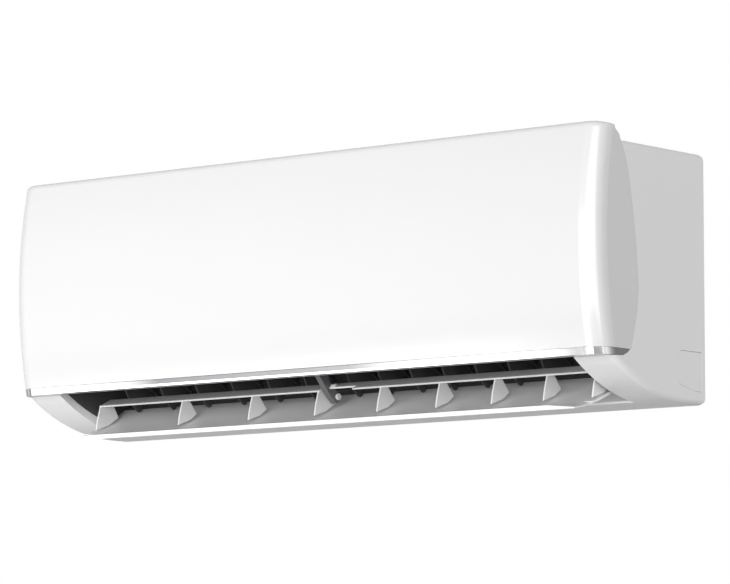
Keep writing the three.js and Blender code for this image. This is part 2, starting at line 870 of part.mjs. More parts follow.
function chromeStrip() {
  const grown = (inset) => panelOutline(-stripProud, inset);
  const outer = roundedEnds(grown, halfLength + stripProud, panelEndRadius + stripProud, 6);
  const inner = roundedEnds((inset) => panelOutline(panelWall, inset), halfLength - panelWall,
    panelEndRadius - panelWall, 5);
  const high = panelBottomZ - fitGap;
  const band = box(-halfLength - overshoot, halfLength + overshoot, 0, panelDepth + overshoot,
    stripBottomZ, high);
  const tailTop = prism([
    [panelRearLowDepth + 18, high],
    [panelRearLowDepth + 9, high + 0.4],
    [panelRearLowDepth, panelRearLowZ],
    [panelRearLowDepth - 1, panelTopZ],
    [panelDepth + overshoot, panelTopZ],
    [panelDepth + overshoot, high],
  ], -halfLength - overshoot, halfLength + overshoot);
  const skin = cut(outer.subtract(openRear(inner)).intersect(frontRegion(0, 0)), [tailTop])
    .intersect(band);
  const flange = box(-halfLength + panelEndRadius, halfLength - panelEndRadius,
    railFrontDepth + runGap, panelFront(stripBottomZ, panelWall / 2), stripBottomZ,
    stripBottomZ + 2);
  return skin.add(flange);
}

// ---------------------------------------------------------------- air duct and fan

const panUnderFront = [outletFrontDepth - fitGap, undersideFrontZ + 4];

function airDuct() {
  const steps = 9;
  const lip = ductPlace(ductReach, 0);
  const lipBack = ductPlace(ductReach - 1, -ductWall);
  const scroll = [...scrollLine(0, steps), lip, lipBack,
    ...scrollLine(ductWall, steps).reverse()];
  const straight = [ductPlace(-6, 0), lip, lipBack, ductPlace(-6, -ductWall)];
  const left = -halfOutlet - ductWall;
  const fanHole = arc(fanDepth, fanZ, scrollStartRadius - 4, -38, 180 - scrollStartAngle, 12);
  const side = [
    ...scrollLine(ductWall, steps),
    lipBack,
    lip,
    ...underside(outletFlange + fitGap, 10)
      .filter(([depth]) => depth > lip[0] + 6 && depth < outletFrontDepth - 8),
    [panUnderFront[0] - 4, panUnderFront[1] + 7],
    [panTongueDepth - 1, panTongueZ - 2],
    ...fanHole.filter(([, z]) => z > panTongueZ + 3),
  ];
  const rightSide = side.filter(([depth, z]) => z < panTongueZ || depth < fanDepth);
  const ceilingZ = scrollEnd[1] - 1;
  const ceiling = [
    [scrollEnd[0] - 1, ceilingZ],
    [underPan(ceilingZ) - fitGap * 2, ceilingZ],
    [underPan(ceilingZ + ductWall) - fitGap * 2, ceilingZ + ductWall],
    [scrollEnd[0] - 1, ceilingZ + ductWall],
  ];
  const leftWall = prism(side, left, -halfOutlet);
  const fanEnd = prism(side, scrollRight, scrollRight + ductWall)
    .intersect(box(scrollRight - 1, scrollRight + 9, 0, panTongueDepth, fanZ - 54, casingHeight));
  const rightWall = prism(rightSide, halfOutlet, halfOutlet + ductWall)
    .intersect(box(halfOutlet - 1, halfOutlet + 9, 0, panelDepth, 0, scrollEnd[1] + 14));
  const body = join([
    prism(scroll, left, scrollRight + ductWall),
    prism(straight, scrollRight, halfOutlet + ductWall),
    prism(ceiling, scrollRight, halfOutlet + ductWall),
    leftWall,
    fanEnd,
    rightWall,
  ]);
  const far = halfOutlet + 2 * overshoot;
  return cut(body, [
    rod(-far, -halfOutlet + 1, fanDepth, fanZ, bearingSeatRadius + fitGap, 20),
    rod(scrollRight - 1, scrollRight + overshoot, fanDepth, fanZ, motorShaftRadius + 6, 16),
    rod(-far, -halfOutlet + 1, louverDepth, louverZ, louverPinRadius + fitGap, 12),
    rod(halfOutlet - 1, far, louverDepth, louverZ, stepperShaftRadius + 2, 12),
    ...vaneXs().map((x) => inDuct(vaneHole(x))),
    inDuct(post(crankX, 0, -overshoot * 2, overshoot, stepperShaftRadius + runGap, 10)),
    prism(belowFlange(), -far, -halfOutlet + fitGap),
    prism(belowFlange(), halfOutlet - fitGap, far),
  ]);
}

// the cheeks' white edge and all below it
function belowFlange() {
  return [
    [-overshoot, outletFlange + fitGap],
    ...underside(outletFlange + fitGap, 10),
    [panelDepth, undersideFrontZ + outletFlange + fitGap],
    [panelDepth, -overshoot],
    [-overshoot, -overshoot],
  ];
}

// depth of the drain pan's sloping underside at a height
function underPan(z) {
  const share = (z - panTongueZ) / (panUnderFront[1] - panTongueZ);
  return panTongueDepth + (panUnderFront[0] - panTongueDepth) * share;
}

// places the vane rack: its Z axis stands off the duct's rear wall at the vanes' pivots
const rackFoot = ductPlace(vaneFoot, 0);
const rackTurn = Math.atan2(acrossDuct.x, acrossDuct.y);

function inDuct(solid) {
  const turn = new THREE.Matrix4().makeRotationX(rackTurn);
  turn.setPosition(0, -rackFoot[0], rackFoot[1]);
  return solid.transform(turn.elements);
}

function vaneXs() {
  return vaneGroups.flatMap(({ first, pitch, count }) => (
    Array.from({ length: count }, (_, i) => first + pitch * i)
  ));
}

function vaneHole(x) {
  return post(x, 0, -overshoot, overshoot, vanePinRadius + fitGap, 8);
}

// one vertical vane, drawn as [downstream of its pivot, off the duct wall]
function vane() {
  const blade = prism([
    [-11, 3],
    [7, 3],
    [7, 9.5],
    [17.5, 9.5],
    [23, 15],
    [31, 15],
    [34.2, 17],
    [35, 20],
    [34.2, 26],
    [29.5, 41],
    [20.5, 56],
    [11, 59],
    [-2, 47],
    [-10.5, 30],
  ], -vaneThickness / 2, vaneThickness / 2);
  const pin = post(0, 0, -ductWall + fitGap, 30, vanePinRadius, 8);
  const crankPin = post(0, vaneCrank, barLift - 1.4, 10.5, vaneCrankPinRadius, 6);
  return join([blade, pin, crankPin]);
}

function vaneLinkBar() {
  const xs = vaneXs();
  const xMin = crankX - 8;
  const xMax = xs[xs.length - 1] + 8;
  const bar = box(xMin, xMax, vaneCrank - barWidth / 2 - 1, vaneCrank + barWidth / 2 - 1,
    barLift, barLift + barThickness);
  const shift = vaneCrank * (1 - Math.cos(THREE.MathUtils.degToRad(vaneSwing)));
  const room = vaneCrankPinRadius + 2 * fitGap;
  const slots = [crankX, ...xs].map((x) => box(x - room, x + room,
    vaneCrank - shift - room, vaneCrank + room, barLift - overshoot, barLift + overshoot));
  return cut(bar, slots);
}

function vaneCrankPiece() {
  const arm = prism([
    [-4.5, barLift + barThickness + runGap],
    [vaneCrank + 2.6, barLift + barThickness + runGap],
    [vaneCrank + 2.6, barLift + barThickness + runGap + 2.5],
    [-4.5, barLift + barThickness + runGap + 2.5],
  ], -3.2, 3.2);
  const shaft = post(0, 0, -ductWall - casingWall - 2 * fitGap - 1.5, barLift + 4,
    stepperShaftRadius, 10);
  const pin = post(0, vaneCrank, barLift - 1.4, barLift + 4, vaneCrankPinRadius, 6);
  return join([arm, shaft, pin]);
}

function vaneMotorHole() {
  return [inDuct(post(crankX, 0, -4 * overshoot, overshoot, stepperShaftRadius + runGap, 10))];
}

function stepper(shaftClearance) {
  const half = stepperLength / 2;
  const can = turned([
    [-half, 0],
    [-half, stepperRadius - 1],
    [-half + 1, stepperRadius],
    [half - 1, stepperRadius],
    [half, stepperRadius - 1],
    [half, shaftClearance],
    [half - 4, shaftClearance],
    [half - 4, 0],
  ], 0, 0, 20);
  return can;
}

// cross-flow wheel on its own axis
function crossflowFan() {
  const span = [fanLeft, fanRight];
  const lean = THREE.MathUtils.degToRad(fanBladeLean);
  const blades = [];
  for (let i = 0; i < fanBlades; i += 1) {
    const turn = (2 * Math.PI * i) / fanBlades;
    const inner = [fanInnerRadius, turn - lean * 0.4];
    const middle = [(fanInnerRadius + fanRadius) / 2 - 0.5, turn - lean * 0.05];
    const outer = [fanRadius - 0.6, turn + lean * 0.05];
    const place = ([radius, angle], out) => [
      radius * Math.cos(angle) - out * Math.sin(angle),
      radius * Math.sin(angle) + out * Math.cos(angle),
    ];
    const half = fanBladeThickness / 2;
    blades.push(prism([
      place(inner, -half),
      place(middle, -half),
      place(outer, -half * 0.7),
      place(outer, half * 0.7),
      place(middle, half),
      place(inner, half),
    ], span[0] + fanDisc / 2, span[1] - fanDisc / 2));
  }
  const ringSpace = (span[1] - span[0] - fanDisc) / (fanRings + 1);
  const rings = Array.from({ length: fanRings }, (_, i) => {
    const x = span[0] + ringSpace * (i + 1);
    return turned([
      [x, fanInnerRadius - 2],
      [x, fanRadius],
      [x + fanDisc, fanRadius],
      [x + fanDisc, fanInnerRadius - 2],
      [x, fanInnerRadius - 2],
    ], 0, 0, 24);
  });
  const leftDisc = rod(span[0], span[0] + fanDisc, 0, 0, fanRadius, 24);
  const rightDisc = rod(span[1] - fanDisc, span[1], 0, 0, fanRadius, 24);
  const stub = rod(-halfOutlet - ductWall - 3, span[0] + 1, 0, 0, fanStubRadius, 12);
  const hub = rod(span[1] - 14, span[1] - 1, 0, 0, 13, 16);
  const bore = rod(span[1] - 12, span[1] + overshoot, 0, 0, motorShaftRadius + fitGap, 12);
  return cut(join([leftDisc, rightDisc, hub, stub, ...rings, ...blades]), [bore]);
}

function motorShaft() {
  return rod(fanRight - 11, motorLeft + 6, 0, 0, motorShaftRadius, 12);
}

function fanMotor() {
  const end = motorLeft + motorLength;
  const neck = 14;
  return turned([
    [motorLeft, motorShaftRadius + fitGap],
    [motorLeft, neck],
    [motorLeft + 4, neck],
    [motorLeft + 4, motorRadius - 4],
    [motorLeft + 8, motorRadius],
    [end - 4, motorRadius],
    [end, motorRadius - 4],
    [end, 0],
    [motorLeft + 7, 0],
    [motorLeft + 7, motorShaftRadius + fitGap],
    [motorLeft, motorShaftRadius + fitGap],
  ], fanDepth, fanZ, 28);
}

function motorClamp() {
  const left = motorLeft + (motorLength - clampWidth) / 2;
  const right = left + clampWidth;
  const steps = 14;
  const sweepAngle = 210;
  const halfStep = THREE.MathUtils.degToRad(sweepAngle / steps / 2);
  const inner = (motorRadius + fitGap) / Math.cos(halfStep);
  const outer = inner + clampThickness;
  const from = 180 - sweepAngle / 2;
  const ring = [
    ...arc(fanDepth, fanZ, outer, from, from + sweepAngle, steps),
    ...arc(fanDepth, fanZ, inner, from + sweepAngle, from, steps),
  ];
  const foot = backWallDepth + casingWall + fitGap;
  const leg = [
    [foot, fanZ - 20],
    [foot + 3, fanZ - 20],
    [foot + 3, fanZ - 6],
    [fanDepth - inner - 1, fanZ - 5],
    [fanDepth - inner - 1, fanZ + 5],
    [foot + 3, fanZ + 6],
    [foot + 3, fanZ + 20],
    [foot, fanZ + 20],
  ];
  return prism(ring, left, right).add(prism(leg, left, right));
}

function bearingSeat() {
  const left = -halfOutlet - ductWall - 2;
  const right = left + bearingWidth + 2;
  return turned([
    [left, bearingRadius + fitGap],
    [left, bearingSeatRadius],
    [right, bearingSeatRadius],
    [right, bearingRadius + fitGap],
    [left, bearingRadius + fitGap],
  ], fanDepth, fanZ, 20);
}

function fanBearing() {
  const left = -halfOutlet - ductWall - 1;
  const right = left + bearingWidth;
  return turned([
    [left, fanStubRadius + fitGap],
    [left, bearingRadius],
    [right, bearingRadius],
    [right, fanStubRadius + fitGap],
    [left, fanStubRadius + fitGap],
  ], fanDepth, fanZ, 20);
}

// ---------------------------------------------------------------- drain pan and evaporator

function drainPan() {
  const front = frameFrontDepth - casingWall - buttonTravel - 2 * fitGap;
  const rearWall = coilFrontDepth - coilThickness / 2 - 4.5;
  const section = [
    [panTongueDepth, panTongueZ],
    panUnderFront,
    [panUnderFront[0], railTopZ - casingWall],
    [front, railTopZ + 2],
    [front, panWallTopZ],
    [front - casingWall, panWallTopZ],
    [front - casingWall, panFloorZ],
    [rearWall + 2, panFloorZ + 9],
    [rearWall, panWallTopZ + 3],
    [rearWall - 4, panTongueZ + 7],
    [panTongueDepth, panTongueZ + 5],
  ];
  const left = -halfOutlet - ductWall;
  const trough = prism(section, left + ductWall + fitGap, panRight);
  const ends = [left + ductWall + fitGap, panRight - casingWall].map((x) => prism([
    [rearWall + 1, panFloorZ + 6],
    [front - 1, panFloorZ - 3],
    [front - 1, panWallTopZ],
    [rearWall + 1, panWallTopZ],
  ], x, x + casingWall));
  const duct = prism([
    [panTongueDepth, panTongueZ],
    panUnderFront,
    [panUnderFront[0], panUnderFront[1] + 10],
    [panTongueDepth + 6, panTongueZ + 4],
  ], panRight - 1, halfOutlet - fitGap);
  const spout = rod(panRight - 1, panRight + 14, rearWall + 22, panFloorZ + 7, 5, 12);
  const spoutBore = rod(panRight - 2 * casingWall, panRight + 20, rearWall + 22, panFloorZ + 7,
    3.4, 12);
  return cut(join([trough, ...ends, duct, spout]), [spoutBore]);
}

function drainPlug() {
  const rearWall = coilFrontDepth - coilThickness / 2 - 4.5;
  const x = panRight + 14;
  return turned([
    [x - 9, 0],
    [x - 9, 2.9],
    [x + fitGap, 3],
    [x + fitGap, 5.6],
    [x + 4, 5],
    [x + 4, 0],
  ], rearWall + 22, panFloorZ + 7, 12);
}

// the three fin blocks, each as its two end points and which side the fan is on
const coilBlocks = {
  lower: [[coilFrontDepth, coilBottomZ], [coilFrontDepth, coilKneeZ]],
  upper: [[coilFrontDepth - 3, coilKneeZ + 12], [coilApexDepth + 7, coilApexZ - 3]],
  rear: [[coilApexDepth - 14, coilApexZ - 2], [coilRearDepth, coilRearZ]],
};

function coilOutline(block, grow) {
  const [[d0, z0], [d1, z1]] = coilBlocks[block];
  const length = Math.hypot(d1 - d0, z1 - z0);
  const run = [(d1 - d0) / length, (z1 - z0) / length];
  const half = coilThickness / 2 + grow;
  const corner = (d, z, along, side) => [
    d + run[0] * along - run[1] * side,
    z + run[1] * along + run[0] * side,
  ];
  return [
    corner(d0, z0, -grow, -half),
    corner(d1, z1, grow, -half),
    corner(d1, z1, grow, half),
    corner(d0, z0, -grow, half),
  ];
}

function coilBlock(block) {
  return prism(coilOutline(block, 0), coilLeft, coilRight);
}

// end plate with its return bends, one row of bends on each block
function coilEnd(side) {
  const face = side < 0 ? coilLeft - fitGap : coilRight + fitGap;
  const far = face + side * coilPlate;
  const plates = Object.keys(coilBlocks).map((block) => prism(coilOutline(block, 1.5),
    Math.min(face, far), Math.max(face, far)));
  const bends = [];
  for (const block of Object.keys(coilBlocks)) {
    const [[d0, z0], [d1, z1]] = coilBlocks[block];
    for (const share of [0.27, 0.73]) {
      const depth = d0 + (d1 - d0) * share;
      const z = z0 + (z1 - z0) * share;
      bends.push(returnBend(far - side * coilPlate / 2, side, depth, z, Math.atan2(z1 - z0, d1 - d0)));
    }
  }
  const links = join([
    bridgePlate(coilBlocks.lower[1], coilBlocks.upper[0], face, far),
    bridgePlate(coilBlocks.upper[1], coilBlocks.rear[0], face, far),
  ]);
  return join([...plates, links, ...bends]);
}

// strip of end plate that ties two blocks together
function bridgePlate([d0, z0], [d1, z1], face, far) {
  const margin = 9;
  const outline = [
    [d0 - margin, z0 - margin],
    [d0 + margin, z0 - margin],
    [d1 + margin, z1 + margin],
    [d1 - margin, z1 + margin],
  ];
  const flat = [
    [d0 + margin, z0 + margin],
    [d0 + margin, z0 - margin],
    [d1 - margin, z1 - margin],
    [d1 - margin, z1 + margin],
  ];
  const upright = Math.abs(d1 - d0) < margin;
  return prism(upright ? outline : flat, Math.min(face, far), Math.max(face, far));
}

// a half-ring tube that stands out of the end plate
function returnBend(x, side, depth, z, angle) {
  const steps = 5;
  const leg = 3;
  const place = (out, along) => new THREE.Vector3(
    x + side * out,
    -(depth + along * Math.cos(angle)),
    z + along * Math.sin(angle),
  );
  const ring = Array.from({ length: steps + 1 }, (_, i) => {
    const turn = (Math.PI * i) / steps;
    return place(leg + bendRadius * Math.sin(turn) * 0.8, -bendRadius * Math.cos(turn));
  });
  return sweep([place(0, -bendRadius), ...ring, place(0, bendRadius)], tubeRadius, 6);
}

// straight runs joined by quarter turns, as a bent tube
function bentTube(corners, radius, sides) {
  const path = new THREE.CurvePath();
  let from = corners[0];
  for (let i = 1; i + 1 < corners.length; i += 1) {
    const corner = corners[i];
    const back = corners[i - 1].clone().sub(corner).normalize().multiplyScalar(pipeTurnRadius);
    const on = corners[i + 1].clone().sub(corner).normalize().multiplyScalar(pipeTurnRadius);
    const start = corner.clone().add(back);
    const end = corner.clone().add(on);
    path.add(new THREE.LineCurve3(from, start));
    path.add(new THREE.QuadraticBezierCurve3(start, corner, end));
    from = end;
  }
  path.add(new THREE.LineCurve3(from, corners[corners.length - 1]));
  const places = [];
  for (const curve of path.curves) {
    const steps = curve.type === 'LineCurve3' ? 1 : 5;
    const points = curve.getPoints(steps);
    places.push(...(places.length ? points.slice(1) : points));
  }
  return sweep(places, radius, sides);
}

// a path that puts one ring of the tube at each of its places
class PlacesCurve extends THREE.Curve {
  constructor(places) {
    super();
    this.places = places;
  }

  getUtoTmapping(share) {
    return share;
  }

  getPoint(share) {
    const last = this.places.length - 1;
    const at = Math.min(Math.floor(share * last), last - 1);
    return this.places[at].clone().lerp(this.places[at + 1], share * last - at);
  }
}

function sweep(places, radius, sides) {
  const ring = Array.from({ length: sides }, (_, i) => {
    const turn = (2 * Math.PI * i) / sides;
    return new THREE.Vector2(radius * Math.cos(turn), radius * Math.sin(turn));
  });
  return toSolid(new THREE.ExtrudeGeometry(new THREE.Shape(ring), {
    steps: places.length - 1,
    extrudePath: new PlacesCurve(places),
  }));
}

// where a pipe leaves the right coil end, at a height share of the rear block
function pipeStart(share) {
  const [[d0, z0], [d1, z1]] = coilBlocks.rear;
  const x = coilRight + fitGap + coilPlate + fitGap;
  return new THREE.Vector3(x, -(d0 + (d1 - d0) * share), z0 + (z1 - z0) * share);
}

function pipe(radius, share, dropX, runZ) {
  const depth = pipeDropDepth;
  const start = pipeStart(share);
  return bentTube([
    start,
    new THREE.Vector3(dropX, start.y, start.z),
    new THREE.Vector3(dropX, -depth, start.z - 24),
    new THREE.Vector3(dropX, -depth, runZ),
    new THREE.Vector3(pipeEndX, -depth, runZ),
  ], radius, 10);
}

function flareNut(pipeRadius, z) {
  const left = pipeEndX - 4;
  const right = left + nutLength;
  const across = pipeRadius * 1.9;
  const hexagon = rod(left, right - 6, pipeDropDepth, z, across, 6);
  const collar = rod(left, right, pipeDropDepth, z, pipeRadius + 2.2, 16);
  return hexagon.add(collar).subtract(rod(left - 1, right + 1, pipeDropDepth, z,
    pipeRadius + fitGap, 16));
}

function pipeClamp() {
  const x = pipeEndX + 110;
  const width = 12;
  const high = gasRunZ + pipePitch;
  const back = gasPipeRadius + 3;
  const plate = box(x, x + width, pipeDropDepth - back, pipeDropDepth + back,
    casingWall + fitGap, high + liquidPipeRadius + 3);
  return cut(plate, [
    rod(x - 1, x + width + 1, pipeDropDepth, gasRunZ, gasPipeRadius + fitGap, 16),
    rod(x - 1, x + width + 1, pipeDropDepth, high, liquidPipeRadius + fitGap, 16),
  ]);
}

// ---------------------------------------------------------------- controls

function controlBox() {
  const outer = box(boxLeft, boxRight, boxRearDepth, boxFrontDepth, boxBottomZ, boxTopZ);
  const inner = box(boxLeft + boxWall, boxRight + overshoot, boxRearDepth + boxWall,
    boxFrontDepth - boxWall, boxBottomZ + boxWall, boxTopZ - boxWall);
  const posts = [];
  for (const depth of [boxRearDepth + 12, boxFrontDepth - 12]) {
    for (const z of [boxBottomZ + 12, boxTopZ - 12]) {
      posts.push(rod(boxLeft + boxWall - 1, boxLeft + 9, depth, z, 3, 8));
    }
  }
  const lugDepth = backWallDepth + casingWall + fitGap;
  const lug = box(boxLeft + 4, boxLeft + 16, lugDepth, boxRearDepth + 1, boxTopZ - 9,
    boxTopZ - 5);
  return join([outer.subtract(inner), ...posts, lug]);
}

function controlBoxCover() {
  return box(boxRight + fitGap, boxRight + fitGap + 1, boxRearDepth, boxFrontDepth, boxBottomZ,
    boxTopZ);
}

function circuitBoard() {
  const left = boxLeft + 9 + fitGap;
  const margin = boxWall + 3;
  const board = box(left, left + boardThickness, boxRearDepth + margin, boxFrontDepth - margin,
    boxBottomZ + margin, boxTopZ - margin);
  const blocks = [
    [92, 22, 150, 34, 14],
    [122, 20, 190, 26, 10],
    [96, 16, 214, 16, 12],
    [130, 12, 140, 18, 11],
  ].map(([depth, width, z, height, proud]) => box(left + boardThickness - 0.5,
    left + boardThickness + proud, depth - width / 2, depth + width / 2, z - height / 2,
    z + height / 2));
  return join([board, ...blocks]);
}

function terminalBlock() {
  const rear = boxFrontDepth + fitGap;
  const low = boxBottomZ + 8;
  const high = low + 38;
  const base = box(boxLeft + 2, boxRight - 3, rear, rear + 8, low, high);
  const ways = [0, 1, 2, 3].map((i) => box(boxLeft + 5, boxRight - 6, rear + 7,
    rear + terminalDepth, low + 2 + i * 9, low + 9 + i * 9));
  return join([base, ...ways]);
}

function displayBoard() {
  const rear = frameFrontDepth + fitGap;
  const plate = box(displayLeft, displayRight, rear, rear + 3, displayZ - 7, displayZ + 7);
  const lens = box(displayLeft + 6, displayLeft + 46, rear + 2.5, rear + 7, displayZ - 5,
    displayZ + 5);
  const eye = postForward(displayRight - 14, displayZ, rear + 2.5, rear + 8, 4, 12);
  return join([plate, lens, eye]);
}

function auxButton() {
  const rear = frameFrontDepth - casingWall + 1;
  const cap = postForward(buttonX, displayZ, frameFrontDepth + buttonTravel + fitGap,
    frameFrontDepth + buttonTravel + 5, buttonRadius, 16);
  const stem = postForward(buttonX, displayZ, rear - 1, frameFrontDepth + buttonTravel + 1,
    buttonRadius - 1, 16);
  return cap.add(stem);
}

// ---------------------------------------------------------------- air filters

// outer face of the frame, raised by a filter's thickness
function filterLine(off, bottom, top) {
  const leanDepth = frameLean(top);
  return [
    [frameFrontDepth + off, bottom],
    [frameFrontDepth + off, frameKneeZ + off * 0.3],
    [leanDepth + off * 1.1, top],
  ];
}

function airFilter(left, right) {
  const low = windowBottomZ - filterLap;
  const high = windowTopZ + filterLap - 1;
  const sheet = (off, thick, bottom, top) => [
    ...filterLine(off, bottom, top),
    ...filterLine(off + thick, bottom, top).reverse(),
  ];
  const off = fitGap + 0.2;
  const netLine = sheet(off + (filterThickness - filterNet) / 2, filterNet, low + 1, high - 1);
  const net = prism(netLine, left + 1, right - 1);
  const frame = prism(sheet(off, filterThickness, low, high), left, right);
  const pitch = (right - left - filterBorder) / filterRibs;
  const openings = Array.from({ length: filterRibs }, (_, i) => {
    const x = left + filterBorder + i * pitch;
    return prism(sheet(-overshoot, 4 * overshoot, low + filterBorder, high - filterBorder),
      x, x + pitch - filterBorder);
  });
  return cut(frame, openings).add(net);
}

// ---------------------------------------------------------------- louver

// the flap's outer face lies on the underside's arc when closed
function flapSection() {
  const frontDepth = outletFrontDepth - runGap - fitGap;
  const toAngle = (depth) => THREE.MathUtils.radToDeg(
    Math.asin((depth - undersideFlat) / undersideRadius),
  ) - 90;
  const from = toAngle(flapRearDepth);
  const to = toAngle(frontDepth);
  const lipFrom = toAngle(frontDepth - flapLipLength);
  const inner = undersideRadius - flapThickness;
  const outer = arc(undersideFlat, undersideRadius, undersideRadius, from, to, 8);
  return [
    ...outer,
    ...arc(undersideFlat, undersideRadius, undersideRadius - flapLip, to, lipFrom, 1),
    ...arc(undersideFlat, undersideRadius, inner, lipFrom - 1, from, 8),
  ];
}

// the flap's chord, with a place given along it and off its inner face
const flapRear = [flapRearDepth, underSurface(flapRearDepth) + flapThickness];
const flapFront = [outletFrontDepth, underSurface(outletFrontDepth) + flapLip];
const flapChord = new THREE.Vector2(flapFront[0] - flapRear[0], flapFront[1] - flapRear[1])
  .normalize();

function onFlap(along, off) {
  return [
    flapRear[0] + flapChord.x * along - flapChord.y * off,
    flapRear[1] + flapChord.y * along + flapChord.x * off,
  ];
}

// what thins the lip towards one of its ends
function flapEndCutter(side) {
  const half = louverLength / 2;
  const frontDepth = outletFrontDepth - runGap - fitGap;
  const place = (depth) => THREE.MathUtils.radToDeg(
    Math.asin((depth - undersideFlat) / undersideRadius),
  ) - 90;
  const from = place(frontDepth - flapEndDepth);
  const to = place(frontDepth) + 1;
  const section = (thickness) => [
    ...arc(undersideFlat, undersideRadius, undersideRadius - thickness, from, to, 4),
    ...arc(undersideFlat, undersideRadius, undersideRadius - 3 * flapLip, to, from, 4),
  ];
  const sections = [
    { x: side * (half - flapEndLength), points: section(flapLip + overshoot / 10) },
    { x: side * (half + overshoot), points: section(flapEndEdge) },
  ];
  return loft(sections.sort((first, second) => first.x - second.x));
}

function louverFlap() {
  const half = louverLength / 2;
  const plate = prism(flapSection(), -half, half);
  const pin = rod(-halfOutlet - ductWall, -half + 4, louverDepth, louverZ, louverPinRadius, 12);
  const ear = prism([
    onFlap(22, -4.6),
    onFlap(50, -6.6),
    ...arc(louverDepth, louverZ, louverPinRadius + 2.5, -20, 200, 8),
  ], -half, -half + 4);
  const drive = prism([
    onFlap(22, -4.6),
    onFlap(50, -6.6),
    ...arc(louverDepth, louverZ, stepperShaftRadius + 3, -20, 200, 8),
  ], half - 14, half - 5);
  const bore = rod(half - 12, half + overshoot, louverDepth, louverZ, stepperShaftRadius + fitGap,
    12);
  const thinned = cut(plate, [flapEndCutter(-1), flapEndCutter(1)]);
  return cut(join([thinned, ear, pin, drive]), [bore]);
}

function ribXs() {
  const places = [slatLeft + ribThickness / 2, ribFirstX];
  let space = ribFirstPitch;
  for (let i = 2; i < ribCount; i += 1) {
    places.push(places[i - 1] + space);
    space *= ribPitchRatio;
  }
  return places;
}

function slatSection(from, to) {
  return [
    onFlap(from, slatRise),
    onFlap(to, slatRise - 1.4),
    onFlap(to + 0.6, slatRise - 0.4),
    onFlap(to, slatRise + slatThickness - 1.2),
    onFlap(from, slatRise + slatThickness),
  ];
}

function louverSlat() {
  const rear = slatOffset;
  const front = slatOffset + slatWidth;
  const xs = ribXs();
  const pinned = [xs[0], centreRibX(), xs[ribCount - 1]];
  const rib = (drawn) => [
    onFlap(rear - 4 + drawn * 0.7, flapThickness - 4.4 + fitGap),
    onFlap(rear + 16, flapThickness - 7.7 + fitGap),
    onFlap(front + 16, flapThickness - 7 + fitGap),
    onFlap(front + 10, 6),
    onFlap(front - 0.5, slatRise),
    onFlap(rear + 1 + drawn, slatRise + 0.5),
  ];
  const ribs = xs.map((x) => prism(rib(pinned.includes(x) ? 0 : ribDrawIn),
    x - ribThickness / 2, x + ribThickness / 2));
  const plate = prism(slatSection(rear, front), slatLeft, slatRight);
  const boss = rod(hookX + hookWidth / 2 + 1, hookX + hookWidth / 2 + 8, ...onFlap(front - 12,
    slatRise + 1), 2.6, 10);
  const setback = prism([
    onFlap(front - slatSetback, slatRise - 8),
    onFlap(front + 9, slatRise - 8),
    onFlap(front + 9, slatRise + 8),
    onFlap(front - slatSetback, slatRise + 8),
  ], hookX, slatSetbackEnd);
  const shaftHole = rod(slatRight - overshoot, slatRight + overshoot, louverDepth, louverZ,
    stepperShaftRadius + runGap, 12);
  return cut(join([cut(plate, [setback]), boss, ...ribs]), [hookNotch(), shaftHole,
    flapRelief()]);
}

// clears the hook through the whole swing, and the rib beside it stays
function hookNotch() {
  const half = hookWidth / 2 + runGap;
  return prism([
    onFlap(slatOffset + 3.6, slatRise - 4),
    onFlap(slatOffset + slatWidth + 6, slatRise - 6),
    onFlap(slatOffset + slatWidth + 6, slatRise + 6),
    onFlap(slatOffset + 3.6, slatRise + 6),
  ], hookX - half, hookX + half);
}

// keeps the ribs a fit gap off the flap's inner face
function flapRelief() {
  const inner = undersideRadius - flapThickness - fitGap;
  return prism([
    ...arc(undersideFlat, undersideRadius, inner, -84, -52, 10),
    [undersideFlat + undersideRadius, -overshoot * 4],
    [undersideFlat, -overshoot * 4],
  ], -halfOutlet, halfOutlet);
}

function louverShaft() {
  const half = louverLength / 2;
  return rod(half - 11, halfOutlet + ductWall + 3.6, 0, 0, stepperShaftRadius, 12);
}

function centrePin() {
  const left = centreRibX() + ribThickness / 2 + fitGap;
  const right = hookX + hookWidth / 2 + 3.5;
  const stem = rod(left, right, 0, 0, 2.4, 12);
  const head = rod(right - 2.4, right, 0, 0, 3.8, 12);
  return stem.add(head);
}

function centreRibX() {
  return ribXs().filter((x) => x < hookX - hookWidth / 2).pop();
}

function centreHook() {
  const left = hookX - hookWidth / 2;
  const right = hookX + hookWidth / 2;
  const slope = (panUnderFront[1] - panTongueZ) / (panUnderFront[0] - panTongueDepth);
  const onPan = (depth) => [depth, panTongueZ + (depth - panTongueDepth) * slope - 2 * fitGap];
  const arm = [
    ...arc(louverDepth, louverZ, hookEyeRadius, hookEyeStart, hookEyeEnd, 8),
    [louverDepth + 14, louverZ + 3],
    [louverDepth + 27, louverZ + 18],
    [louverDepth + 38, louverZ + 28],
    onPan(louverDepth + 54),
    onPan(louverDepth + 38),
    [louverDepth + 21, louverZ + 30],
    [louverDepth + 12, louverZ + 17],
    [louverDepth + 4, louverZ + 9],
  ];
  return prism(arm, left, right).subtract(rod(left - 1, right + 1, louverDepth, louverZ,
    2.4 + fitGap, 12));
}

// ---------------------------------------------------------------- assembly

const unit = new THREE.Group();
unit.name = 'mini_split_indoor_unit';
const onWall = new THREE.Group();
onWall.position.z = -mountHeight;
unit.add(onWall);

